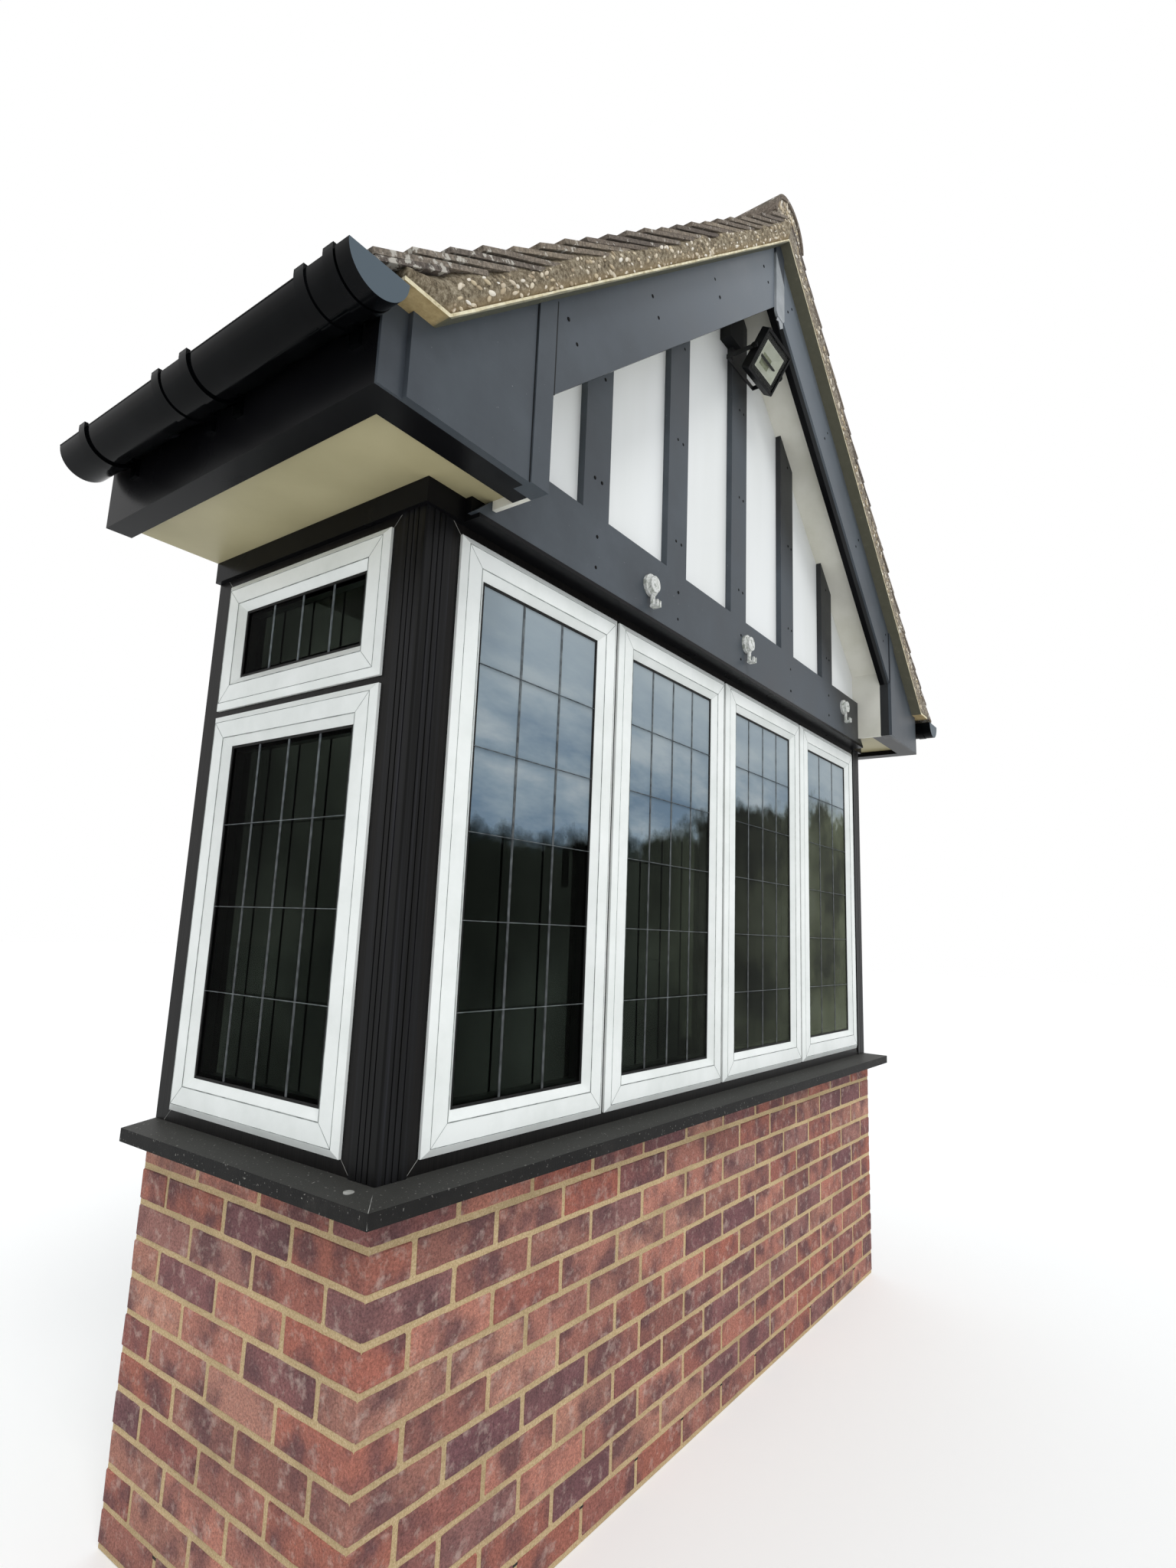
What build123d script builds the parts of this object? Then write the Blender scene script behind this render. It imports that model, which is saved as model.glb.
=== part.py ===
from build123d import *
from math import cos, radians, sin, tan
import os

# Box bay window with its own gabled roof. Millimetres, Z up, ground at z = 0.
# The house wall stands in the plane y = 0, the bay projects towards -Y and is
# symmetrical about x = 0.
os.makedirs("parts", exist_ok=True)

# Brickwork
course = 75.0                  # one brick and one bed joint
plinth_courses = 11
brick_wall = 215.0
bay_half = 1318.0              # centre line to the outer brick face
bay_depth = 778.0              # house wall plane to the outer brick face
slab_thickness = 150.0

# Sill
sill_thickness = 30.0
sill_projection = 62.0         # nose beyond the brick face
sill_fall = 11.0
nose_height = 28.0
drip_gap = 8.0                 # brick face to the back of the nose

# Window frames
post_setback = 10.0            # posts behind the brick face
frame_setback = 14.0           # frames behind the brick face
frame_depth = 70.0
frame_height = 1300.0
frame_show = 28.0              # frame left uncovered round a sash
sash_overlap = 34.0            # frame hidden behind a sash
post_size = 74.0
post_arris = 4.0               # rounding of the outer corner
flute_width, flute_depth, flute_pitch, flute_count = 3.0, 1.5, 15.0, 3
wall_strip = 36.0              # make-up piece against the house wall
sash_gap = 13.0
transom_gap = 17.0
outer_sash = 580.0             # the end lights; the middle pair share the rest
fanlight_height = 321.0

# Sashes and glass
sash_face = 76.0
sash_depth = 68.0
sash_proud = 14.0              # sash face in front of the frame face
sash_fit = 0.5                 # gap round a sash in its rebate
sash_lip, lip_depth = 15.0, 8.0
sash_bevel, bevel_depth = 19.0, 14.0
glass_recess = 18.0
glass_thickness = 28.0
glass_bite = 12.0
glass_fit = 0.3

# Handles
handle_height = 640.0          # above the sash foot
handle_plate_width, handle_plate_height, handle_plate_depth = 24.0, 62.0, 9.0
handle_neck_radius, handle_neck = 8.0, 24.0
handle_lever_width, handle_lever_drop, handle_lever_depth = 16.0, 112.0, 10.0

# Heads, ceiling and window board
head_space = 49.0              # frame head to the soffit boards
head_drop = 54.0               # cover trim below the soffit boards
lintel_height = 185.0
lintel_width = 100.0
plate_height = 50.0
ceiling_thickness = 13.0
joist_width, joist_height, joist_count = 47.0, 97.0, 3
joist_edge = 44.0              # lintel to the middle of the first joist
joist_wall = 70.0              # house wall to the middle of the last joist
board_thickness = 25.0
board_nosing = 20.0

# Roof carcass
pitch = 41.5
eaves_projection = 272.0       # side brick face to the fascia face
fascia_thickness = 18.0
fascia_height = 163.0
fascia_drop = 21.0             # fascia below the soffit boards
sprocket_run = 104.0           # level foot of the slope behind the fascia
rafter_depth, rafter_width = 120.0, 47.0
rafter_bays = 2                # spaces between the wall and the gable rafter
ridge_board_width = 25.0
ridge_board_rise = 4.2         # foot of the ridge board above the rafter feet
deck_thickness, deck_stop = 20.0, 46.0
wedge_gap = 2.9                # eaves wedge below the tiles
batten_width, batten_height, batten_gauge = 38.0, 35.0, 100.0
batten_first = 80.0
batten_seat = 1.0              # let into the deck so the two are one piece

# Tiles
tile_gauge, tile_step = 100.0, 14.0
eaves_courses, eaves_ease = 4, 3.5
tile_overhang = 72.0           # eaves tiles past the fascia
tile_nose = 26.0
eaves_rise = 10.0              # top of the eaves tile above the fascia
ridge_radius, ridge_wall = 118.0, 14.0
ridge_joint = 8.0
ridge_count = 3
ridge_lift = 5.0               # foot of the ridge tiles above the tile tips
ridge_bed_width, ridge_bed_setback = 22.0, 3.0
ridge_plug, ridge_plug_setback = 60.0, 6.0

# Verge and gable
barge_projection = 180.0       # front brick face to the face of the barge boards
barge_thickness = 22.0
barge_depth = 170.0
trim_thickness = 21.0
mitre_joint = 0.5              # each side of the centre line
undercloak_reach = 41.0        # undercloak past the barge boards
undercloak_thickness = 8.0
undercloak_tuck = 1.0          # back edge behind the barge boards
undercloak_lip = 2.0           # past the fascia face
mortar_setback = 2.0           # mortar behind the undercloak edge
tile_lip = 4.0                 # tiles past the undercloak edge
verge_sheet = 9.0              # sloping soffit
wall_proud = 18.0              # gable panel in front of the brick face
panel_thickness = 12.0
beam_thickness = 22.0
beam_height = 180.0
beam_lift = 5.0                # beam foot above the frame head
casing_inset = 106.0           # end of the casing inside the brick corner
drip_lip = 3.0
stud_width, stud_thickness, stud_pitch, stud_count = 110.0, 20.0, 400.0, 5

# Kneeler boxes at the eaves
box_inset = 158.0              # inner face of a box inside the brick corner
cover_width, cover_proud = 55.0, 4.0
end_strip_width, end_strip_setback = 54.0, 12.0
plate_thickness = 18.0
lining_thickness = 12.0
soffit_thickness = 9.0
soffit_inset = 58.0            # edge of the boards that show, behind the fascia
soffit_setback = 82.0          # and behind the barge boards

# Apex cover strip
apex_width, apex_thickness, apex_length, apex_taper = 66.0, 8.0, 285.7, 12.0

# Gutters
gutter_radius, gutter_wall = 57.0, 3.0
gutter_gap = 3.0
gutter_drop = 15.0             # rim below the top of the fascia
gutter_past = 7.0              # stop end past the verge tiles
stop_proud, stop_thickness, stop_collar = 3.5, 5.0, 34.0
clip_proud, clip_width, clip_rise = 5.0, 26.0, 8.0
clip_insets = (38.0, 113.0, 468.0, 570.0, 880.0)
foot_thickness, foot_drop = 8.0, 60.0
union_proud = 2.0              # sleeves between the first and the second pair of clips

# Clear hooks on the beam: distance from the right box and height on the beam
hook_places = ((1706.0, 87.0), (1107.0, 104.0), (188.0, 115.0))
hook_disc, hook_disc_depth = 31.0, 9.0
hook_boss, hook_boss_depth = 23.0, 12.0
hook_stem, hook_drop, hook_reach, hook_rod = 14.0, 66.0, 18.0, 3.0

# Floodlight on the middle stud
lamp_width, lamp_height, lamp_depth, lamp_corner = 182.0, 143.0, 30.0, 6.0
lamp_reach, lamp_drop, lamp_tilt = 101.0, 427.7, 33.0
lamp_rim, lamp_recess, lens_thickness = 9.0, 6.0, 4.0
reflector_edge, reflector_depth = 27.0, 18.0
reflector_width, reflector_height = 60.0, 40.0
fin_count, fin_height, fin_width, fin_margin = 9, 12.0, 3.0, 15.0
yoke_gap, yoke_strap, yoke_width = 7.0, 3.0, 16.0
yoke_tip = 12.0                # yoke past its pivot
pivot_radius, pivot_fit = 4.0, 0.3
knob_radius, knob_thickness = 9.0, 5.0
junction_width, junction_height, junction_depth = 96.0, 130.0, 40.0
junction_side, junction_drop = 62.0, 295.7

# Levels that follow from the sizes above
plinth_top = course * plinth_courses
frame_foot = plinth_top + sill_thickness
frame_head = frame_foot + frame_height
sash_foot = frame_foot + frame_show
sash_head = frame_head - frame_show
sash_height = sash_head - sash_foot
sash_middle = (sash_foot + sash_head) / 2
soffit_level = frame_head + head_space
soffit_top = soffit_level + soffit_thickness
trim_foot = soffit_level - head_drop
beam_foot = frame_head + beam_lift
beam_top = beam_foot + beam_height
lintel_top = frame_head + lintel_height
plate_top = lintel_top + plate_height
fascia_foot = soffit_level - fascia_drop
fascia_top = fascia_foot + fascia_height
gutter_rim = fascia_top - gutter_drop

# Places in front of the house wall
frame_face = bay_depth - frame_setback
post_face = bay_depth - post_setback
post_back = post_face - post_size
lintel_back = frame_face - lintel_width
wall_face = bay_depth + wall_proud
panel_back = wall_face - panel_thickness
beam_face = wall_face + beam_thickness
stud_face = wall_face + stud_thickness
barge_face = bay_depth + barge_projection
barge_back = barge_face - barge_thickness
trim_back = barge_back - trim_thickness
plate_back = barge_face - plate_thickness
soffit_front = barge_face - soffit_setback
undercloak_face = barge_face + undercloak_reach
undercloak_back = barge_back - undercloak_tuck
mortar_face = undercloak_face - mortar_setback
tile_verge = undercloak_face + tile_lip
gutter_end = tile_verge + gutter_past
lamp_y = stud_face + lamp_reach

# Places to the side of the centre line
side_face = bay_half - frame_setback
post_outer = bay_half - post_setback
post_inner = post_outer - post_size
casing_half = bay_half - casing_inset
box_inner = bay_half - box_inset
cover_outer = box_inner + cover_width
lining_outer = box_inner + lining_thickness
fascia_half = bay_half + eaves_projection
fascia_back = fascia_half - fascia_thickness
soffit_half = fascia_half - soffit_inset
end_strip_inner = fascia_half - end_strip_width
kink = fascia_half - sprocket_run

# The slope of the roof
slope = tan(radians(pitch))
apex = fascia_top + kink * slope
verge_drop = rafter_depth + verge_sheet
batten_top = deck_thickness + batten_height
lamp_z = apex - lamp_drop
junction_z = apex - junction_drop


def roof_z(x, drop=0.0):
    """Height over x of the line `drop` below the rafter tops, square to them."""
    return apex - abs(x) * slope - drop / cos(radians(pitch))


def roof_x(z, drop=0.0):
    """The x where the line `drop` below the rafter tops reaches height z."""
    return (apex - z - drop / cos(radians(pitch))) / slope


# The tiles' tips course by course, easier at the eaves, and their underside
eaves = radians(pitch - eaves_ease)
nose_x = fascia_half + tile_overhang
nose_z = fascia_top + eaves_rise
eaves_run = eaves_courses * tile_gauge * cos(eaves)
slope_courses = int((nose_x - eaves_run - mitre_joint) / (tile_gauge * cos(radians(pitch))))
leans = [eaves] * eaves_courses + [radians(pitch)] * slope_courses
tips = [(nose_x, nose_z)]
for lean in leans:
    tip_x, tip_z = tips[-1]
    tips.append((tip_x - tile_gauge * cos(lean), tip_z + tile_gauge * sin(lean)))
top_x, top_z = tips[-1]
ridge_level = top_z + (top_x - ridge_radius) * slope + ridge_lift
under_nose = (nose_x - tile_nose * sin(eaves), nose_z - tile_nose * cos(eaves))
under_kink = (kink, roof_z(kink, -batten_top))


def tile_underside(x):
    """Height of the tile layer's lower face over x, at the eaves."""
    share = (x - kink) / (under_nose[0] - kink)
    return under_kink[1] + share * (under_nose[1] - under_kink[1])


def other_hand(piece):
    with BuildPart() as mirrored:
        add(piece)
        mirror(about=Plane.YZ, mode=Mode.REPLACE)
    return mirrored.part


def both_hands(piece):
    with BuildPart() as pair:
        add(piece)
        mirror(about=Plane.YZ)
    return pair.part


def save(piece, name):
    piece.label = name
    export_step(piece, f"parts/{name}.step")


# Plinth and floor
with BuildPart() as plinth_front:
    with BuildSketch(Plane.XZ.offset(bay_depth - brick_wall)):
        with Locations((0, plinth_top / 2)):
            Rectangle(2 * bay_half, plinth_top)
    extrude(amount=brick_wall)
save(plinth_front.part, "plinth_front")

with BuildPart() as plinth_right:
    with BuildSketch(Plane.YZ.offset(bay_half - brick_wall)):
        with Locations((-(bay_depth - brick_wall) / 2, plinth_top / 2)):
            Rectangle(bay_depth - brick_wall, plinth_top)
    extrude(amount=brick_wall)
save(plinth_right.part, "plinth_right")
save(other_hand(plinth_right.part), "plinth_left")

with BuildPart() as floor_slab:
    with BuildSketch():
        with Locations((0, -(bay_depth - brick_wall) / 2)):
            Rectangle(2 * (bay_half - brick_wall), bay_depth - brick_wall)
    extrude(amount=slab_thickness)
save(floor_slab.part, "floor_slab")


# Sill: one section on three sides, mitred at the two corners
def sill_section(brick_face):
    frame = brick_face - frame_setback
    nose = brick_face + sill_projection
    nose_top = frame_foot - sill_fall
    Polygon(
        (frame - frame_depth, plinth_top),
        (brick_face + drip_gap, plinth_top),
        (nose - nose_height / 2, nose_top - nose_height),
        (nose, nose_top - nose_height),
        (nose, nose_top),
        (frame, frame_foot),
        (frame - frame_depth, frame_foot),
    )


nose_face = bay_depth + sill_projection
nose_half = bay_half + sill_projection
mitre_right = Plane(origin=(nose_half, -nose_face, 0), z_dir=(1, 1, 0))
mitre_left = Plane(origin=(-nose_half, -nose_face, 0), z_dir=(-1, 1, 0))

with BuildPart() as sill_front:
    with BuildSketch(Plane(origin=(nose_half, 0, 0), x_dir=(0, -1, 0), z_dir=(-1, 0, 0))):
        sill_section(bay_depth)
    extrude(amount=2 * nose_half)
    split(bisect_by=mitre_right, keep=Keep.BOTTOM)
    split(bisect_by=mitre_left, keep=Keep.BOTTOM)
save(sill_front.part, "sill_front")

with BuildPart() as sill_right:
    with BuildSketch(Plane.XZ):
        sill_section(bay_half)
    extrude(amount=nose_face)
    split(bisect_by=mitre_right, keep=Keep.TOP)
save(sill_right.part, "sill_right")
save(other_hand(sill_right.part), "sill_left")

# Corner posts with fluted covers on their two outer faces
with BuildPart() as corner_post:
    with BuildSketch(Plane.XY.offset(frame_foot)):
        with Locations((post_inner + post_size / 2, -(post_back + post_size / 2))):
            outline = Rectangle(post_size, post_size)
        outer_corner = outline.vertices().sort_by(Axis.X)[-2:].sort_by(Axis.Y)[0]
        fillet(outer_corner, post_arris)
        with Locations((post_inner + post_size / 2, -post_face)):
            with GridLocations(flute_pitch, 0, flute_count, 1):
                Rectangle(flute_width, 2 * flute_depth, mode=Mode.SUBTRACT)
        with Locations((post_outer, -(post_back + post_size / 2))):
            with GridLocations(0, flute_pitch, 1, flute_count):
                Rectangle(2 * flute_depth, flute_width, mode=Mode.SUBTRACT)
    extrude(amount=frame_height)
save(both_hands(corner_post.part), "corner_posts")

# Windows: each light is (across, up, width, height) on its face plane
middle_sash = post_inner - frame_show - outer_sash - 1.5 * sash_gap
middle_x = sash_gap / 2 + middle_sash / 2
outer_x = post_inner - frame_show - outer_sash / 2
front_lights = [
    (-outer_x, sash_middle, outer_sash, sash_height),
    (-middle_x, sash_middle, middle_sash, sash_height),
    (middle_x, sash_middle, middle_sash, sash_height),
    (outer_x, sash_middle, outer_sash, sash_height),
]
side_sash = post_back - wall_strip - 2 * frame_show
side_middle = -(wall_strip + frame_show + side_sash / 2)
casement_height = sash_height - fanlight_height - transom_gap
side_lights = [
    (side_middle, sash_foot + casement_height / 2, side_sash, casement_height),
    (side_middle, sash_head - fanlight_height / 2, side_sash, fanlight_height),
]
front_plane = Plane.XZ.offset(frame_face)
side_plane = Plane.YZ.offset(side_face)


def light_shapes(lights, margin):
    for across, up, width, height in lights:
        with Locations((across, up)):
            Rectangle(width + 2 * margin, height + 2 * margin)


def frame_body(plane, centre, width, lights):
    with BuildPart() as body:
        with BuildSketch(plane):
            with Locations((centre, frame_foot + frame_height / 2)):
                Rectangle(width, frame_height)
        extrude(amount=-frame_depth)
        with BuildSketch(plane):
            light_shapes(lights, sash_fit)
        extrude(amount=-(sash_depth - sash_proud), mode=Mode.SUBTRACT)
        with BuildSketch(plane):
            light_shapes(lights, -sash_overlap)
        extrude(amount=-frame_depth, mode=Mode.SUBTRACT)
    return body.part


def sash_bodies(plane, lights):
    """Sashes with a sloping lip outside, a bevel inside and a groove for the glass."""
    face = plane.offset(sash_proud)
    with BuildPart() as body:
        with BuildSketch(face.offset(-lip_depth)):
            light_shapes(lights, 0)
        extrude(amount=-(sash_depth - lip_depth))
        for light in lights:
            with BuildSketch(face.offset(-lip_depth)):
                light_shapes([light], 0)
            with BuildSketch(face):
                light_shapes([light], -sash_lip)
            loft()
        with BuildSketch(face):
            light_shapes(lights, -sash_face)
        extrude(amount=-sash_depth, mode=Mode.SUBTRACT)
        with BuildSketch(face.offset(-glass_recess)):
            light_shapes(lights, glass_bite - sash_face)
        extrude(amount=-(glass_thickness + glass_fit), mode=Mode.SUBTRACT)
        for light in lights:
            with BuildSketch(face):
                light_shapes([light], sash_bevel - sash_face)
            with BuildSketch(face.offset(-bevel_depth)):
                light_shapes([light], -sash_face)
            loft(mode=Mode.SUBTRACT)
    return body.part


def glass_units(plane, lights):
    with BuildPart() as body:
        with BuildSketch(plane.offset(sash_proud - glass_recess)):
            light_shapes(lights, glass_bite - glass_fit - sash_face)
        extrude(amount=-glass_thickness)
    return body.part


save(frame_body(front_plane, 0, 2 * post_inner, front_lights), "front_frame")
save(sash_bodies(front_plane, front_lights), "front_sashes")
save(glass_units(front_plane, front_lights), "front_glass")

side_frame = frame_body(side_plane, -post_back / 2, post_back, side_lights)
save(side_frame, "side_frame_right")
save(other_hand(side_frame), "side_frame_left")

side_sashes = sash_bodies(side_plane, side_lights)
save(side_sashes, "side_sashes_right")
save(other_hand(side_sashes), "side_sashes_left")

save(both_hands(glass_units(side_plane, side_lights)), "side_glass")

# Handles on the inner stiles of the two end lights
sash_back = frame_face + sash_proud - sash_depth
handle_x = outer_x - outer_sash / 2 + (sash_overlap + sash_face) / 2
handle_z = sash_foot + handle_height
with BuildPart() as window_handle:
    with BuildSketch(Plane.XZ.offset(sash_back)):
        with Locations((handle_x, handle_z)):
            SlotOverall(handle_plate_height, handle_plate_width, rotation=90)
    extrude(amount=-handle_plate_depth)
    with BuildSketch(Plane.XZ.offset(sash_back)):
        with Locations((handle_x, handle_z)):
            Circle(handle_neck_radius)
    extrude(amount=-(handle_plate_depth + handle_neck))
    with BuildSketch(Plane.XZ.offset(sash_back - handle_plate_depth - handle_neck)):
        with Locations((handle_x, handle_z - handle_lever_drop / 2 + handle_lever_width / 2)):
            SlotOverall(handle_lever_drop, handle_lever_width, rotation=90)
    extrude(amount=-handle_lever_depth)
save(both_hands(window_handle.part), "window_handles")

# Window board on the plinth, inside the frames
board_outer = bay_half - frame_setback - frame_depth
board_inner = bay_half - brick_wall - board_nosing
board_front = frame_face - frame_depth
board_back = bay_depth - brick_wall - board_nosing
with BuildPart() as window_board:
    with BuildSketch(Plane.XY.offset(plinth_top)):
        with Locations((0, -board_front / 2)):
            Rectangle(2 * board_outer, board_front)
        with Locations((0, -board_back / 2)):
            Rectangle(2 * board_inner, board_back, mode=Mode.SUBTRACT)
    extrude(amount=board_thickness)
save(window_board.part, "window_board")

# Head: lintels and plates, casing and cover trim, ceiling
lintel_inner = side_face - lintel_width
with BuildPart() as lintel:
    with BuildSketch(Plane.XY.offset(frame_head)):
        with Locations((0, -frame_face / 2)):
            Rectangle(2 * side_face, frame_face)
        with Locations((0, -lintel_back / 2)):
            Rectangle(2 * lintel_inner, lintel_back, mode=Mode.SUBTRACT)
    extrude(amount=lintel_height)
    with BuildSketch(Plane.XY.offset(lintel_top)):
        for side in (-1, 1):
            with Locations((side * (side_face - lintel_width / 2), -frame_face / 2)):
                Rectangle(lintel_width, frame_face)
    extrude(amount=plate_height)
save(lintel.part, "lintel")

with BuildPart() as head_trim:
    with BuildSketch(Plane.XY.offset(trim_foot)):
        with Locations((0, -bay_depth / 2)):
            Rectangle(2 * bay_half, bay_depth)
        with Locations((0, -frame_face / 2)):
            Rectangle(2 * side_face, frame_face, mode=Mode.SUBTRACT)
        for side in (-1, 1):
            with Locations((side * (post_inner + post_size / 2), -(post_back + post_size / 2))):
                Rectangle(post_size, post_size, mode=Mode.SUBTRACT)
    extrude(amount=head_drop)
    with BuildSketch(Plane.XY.offset(trim_foot)):
        with Locations((0, -(wall_face + frame_face) / 2)):
            Rectangle(2 * casing_half, wall_face - frame_face)
    extrude(amount=beam_top - trim_foot)
    with BuildSketch(Plane.XY.offset(trim_foot)):
        with Locations((0, -(beam_face + drip_lip + wall_face) / 2)):
            Rectangle(2 * casing_half, beam_face + drip_lip - wall_face)
    extrude(amount=beam_foot - trim_foot)
save(head_trim.part, "head_trim")

with BuildPart() as ceiling:
    with BuildSketch(Plane.XY.offset(soffit_level)):
        with Locations((0, -lintel_back / 2)):
            Rectangle(2 * lintel_inner, lintel_back)
    extrude(amount=ceiling_thickness)
save(ceiling.part, "ceiling")

joist_pitch = (lintel_back - joist_edge - joist_wall) / (joist_count - 1)
with BuildPart() as ceiling_joists:
    with BuildSketch(Plane.XY.offset(soffit_level + ceiling_thickness)):
        for i in range(joist_count):
            with Locations((0, -joist_wall - i * joist_pitch)):
                Rectangle(2 * lintel_inner, joist_width)
    extrude(amount=joist_height)
save(ceiling_joists.part, "ceiling_joists")

# Beam, gable panel and studs
beam_tip = lining_outer + (soffit_level - beam_foot) / slope
with BuildPart() as gable_beam:
    with BuildSketch(Plane.XZ.offset(wall_face)):
        Polygon(
            (-beam_tip, beam_foot), (beam_tip, beam_foot),
            (lining_outer, soffit_level), (box_inner, soffit_level),
            (box_inner, beam_top), (-box_inner, beam_top),
            (-box_inner, soffit_level), (-lining_outer, soffit_level),
        )
    extrude(amount=beam_thickness)
save(gable_beam.part, "gable_beam")


def gable_outline(mode=Mode.ADD):
    Polygon(
        (-box_inner, beam_top), (box_inner, beam_top),
        (box_inner, roof_z(box_inner, verge_drop)), (0, roof_z(0, verge_drop)),
        (-box_inner, roof_z(box_inner, verge_drop)), mode=mode,
    )


with BuildPart() as gable_panel:
    with BuildSketch(Plane.XZ.offset(panel_back)):
        gable_outline()
    extrude(amount=panel_thickness)
save(gable_panel.part, "gable_panel")

with BuildPart() as gable_studs:
    with BuildSketch(Plane.XZ.offset(wall_face)):
        gable_outline()
        with Locations((0, beam_top)):
            with GridLocations(stud_pitch, 0, stud_count, 1):
                Rectangle(stud_width, 2 * (apex - beam_top), mode=Mode.INTERSECT)
    extrude(amount=stud_thickness)
save(gable_studs.part, "gable_studs")


# Barge boards, sloping soffit, black trim behind the barges
def sloping_strip(inner, outer, upper, lower):
    """A strip that follows the roof slope between two drops and two x places."""
    Polygon(
        (inner, roof_z(inner, upper)), (outer, roof_z(outer, upper)),
        (outer, roof_z(outer, lower)), (inner, roof_z(inner, lower)),
    )


with BuildPart() as barge_board:
    with BuildSketch(Plane.XZ.offset(barge_back)):
        sloping_strip(mitre_joint, box_inner, 0, barge_depth)
    extrude(amount=barge_thickness)
save(barge_board.part, "barge_board_right")
save(other_hand(barge_board.part), "barge_board_left")

with BuildPart() as verge_trim:
    with BuildSketch(Plane.XZ.offset(trim_back)):
        sloping_strip(mitre_joint, box_inner, rafter_depth, barge_depth)
    extrude(amount=trim_thickness)
save(both_hands(verge_trim.part), "verge_trim")

with BuildPart() as verge_soffit:
    with BuildSketch(Plane.XZ.offset(panel_back)):
        sloping_strip(mitre_joint, box_inner, rafter_depth, verge_drop)
    extrude(amount=trim_back - panel_back)
save(both_hands(verge_soffit.part), "verge_soffit")

apex_foot = apex - apex_length
with BuildPart() as apex_cover:
    with BuildSketch(Plane.XZ.offset(barge_face)):
        Polygon(
            (-apex_width / 2, roof_z(apex_width / 2)), (0, apex),
            (apex_width / 2, roof_z(apex_width / 2)),
            (apex_width / 2, apex_foot + apex_taper),
            (apex_width / 2 - apex_taper, apex_foot),
            (apex_taper - apex_width / 2, apex_foot),
            (-apex_width / 2, apex_foot + apex_taper),
        )
    extrude(amount=apex_thickness)
save(apex_cover.part, "apex_cover")

# Kneeler boxes: front plate, end strip and corner cover
with BuildPart() as box_end:
    with BuildSketch(Plane.XZ.offset(plate_back)):
        Polygon(
            (cover_outer, fascia_foot), (end_strip_inner, fascia_foot),
            (end_strip_inner, fascia_top), (kink, fascia_top),
            (cover_outer, roof_z(cover_outer)),
        )
    extrude(amount=plate_thickness)
    with BuildSketch(Plane.XZ.offset(plate_back)):
        with Locations((end_strip_inner + end_strip_width / 2, (fascia_foot + fascia_top) / 2)):
            Rectangle(end_strip_width, fascia_height)
    extrude(amount=plate_thickness - end_strip_setback)
    for plane, depth, top in (
        (barge_back, barge_face + cover_proud - barge_back, 0),
        (trim_back, trim_thickness, rafter_depth),
    ):
        with BuildSketch(Plane.XZ.offset(plane)):
            Polygon(
                (box_inner, fascia_foot), (cover_outer, fascia_foot),
                (cover_outer, roof_z(cover_outer, top)),
                (box_inner, roof_z(box_inner, top)),
            )
        extrude(amount=depth)
save(box_end.part, "box_end_right")
save(other_hand(box_end.part), "box_end_left")

with BuildPart() as box_lining:
    with BuildSketch(Plane.XZ.offset(wall_face)):
        Polygon(
            (box_inner, soffit_level), (lining_outer, soffit_level),
            (lining_outer, roof_z(lining_outer, rafter_depth)),
            (box_inner, roof_z(box_inner, rafter_depth)),
        )
    extrude(amount=trim_back - wall_face)
    with BuildSketch(Plane.XZ.offset(beam_face)):
        with Locations((box_inner + lining_thickness / 2, (fascia_foot + soffit_level) / 2)):
            Rectangle(lining_thickness, fascia_drop)
    extrude(amount=trim_back - beam_face)
save(both_hands(box_lining.part), "box_linings")

# Level soffit, its black trim, and the fascias
with BuildPart() as soffit:
    with BuildSketch(Plane.XY.offset(soffit_level)):
        Polygon(
            (side_face, 0), (fascia_back, 0), (fascia_back, -plate_back),
            (cover_outer, -plate_back), (cover_outer, -trim_back),
            (lining_outer, -trim_back), (lining_outer, -wall_face),
            (casing_half, -wall_face), (casing_half, -frame_face),
            (side_face, -frame_face),
        )
    extrude(amount=soffit_thickness)
save(soffit.part, "soffit_right")
save(other_hand(soffit.part), "soffit_left")

with BuildPart() as soffit_trim:
    with BuildSketch(Plane.XY.offset(fascia_foot)):
        Polygon(
            (soffit_half, 0), (fascia_back, 0), (fascia_back, -plate_back),
            (cover_outer, -plate_back), (cover_outer, -trim_back),
            (lining_outer, -trim_back), (lining_outer, -soffit_front),
            (soffit_half, -soffit_front),
        )
    extrude(amount=fascia_drop)
save(both_hands(soffit_trim.part), "soffit_trims")

with BuildPart() as fascia:
    with BuildSketch(Plane.XZ):
        with Locations((fascia_half - fascia_thickness / 2, (fascia_foot + fascia_top) / 2)):
            Rectangle(fascia_thickness, fascia_height)
    extrude(amount=plate_back)
save(both_hands(fascia.part), "fascias")

# Roof carcass: rafters with a birdsmouth over the plate, ridge board, deck
rafter_pitch = (panel_back - rafter_width) / rafter_bays
with BuildPart() as rafters:
    for back in [barge_back - rafter_width] + [i * rafter_pitch for i in range(rafter_bays + 1)]:
        with BuildSketch(Plane.XZ.offset(back)):
            Polygon(
                (ridge_board_width / 2, roof_z(ridge_board_width / 2)),
                (kink, fascia_top), (fascia_back, fascia_top),
                (fascia_back, soffit_top), (roof_x(soffit_top, rafter_depth), soffit_top),
                (ridge_board_width / 2, roof_z(ridge_board_width / 2, rafter_depth)),
            )
        extrude(amount=rafter_width)
    with BuildSketch(Plane.XZ):
        with Locations((side_face - lintel_width / 2, plate_top - rafter_depth)):
            Rectangle(lintel_width, 2 * rafter_depth)
    extrude(amount=frame_face, mode=Mode.SUBTRACT)
save(rafters.part, "rafters_right")
save(other_hand(rafters.part), "rafters_left")

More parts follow.
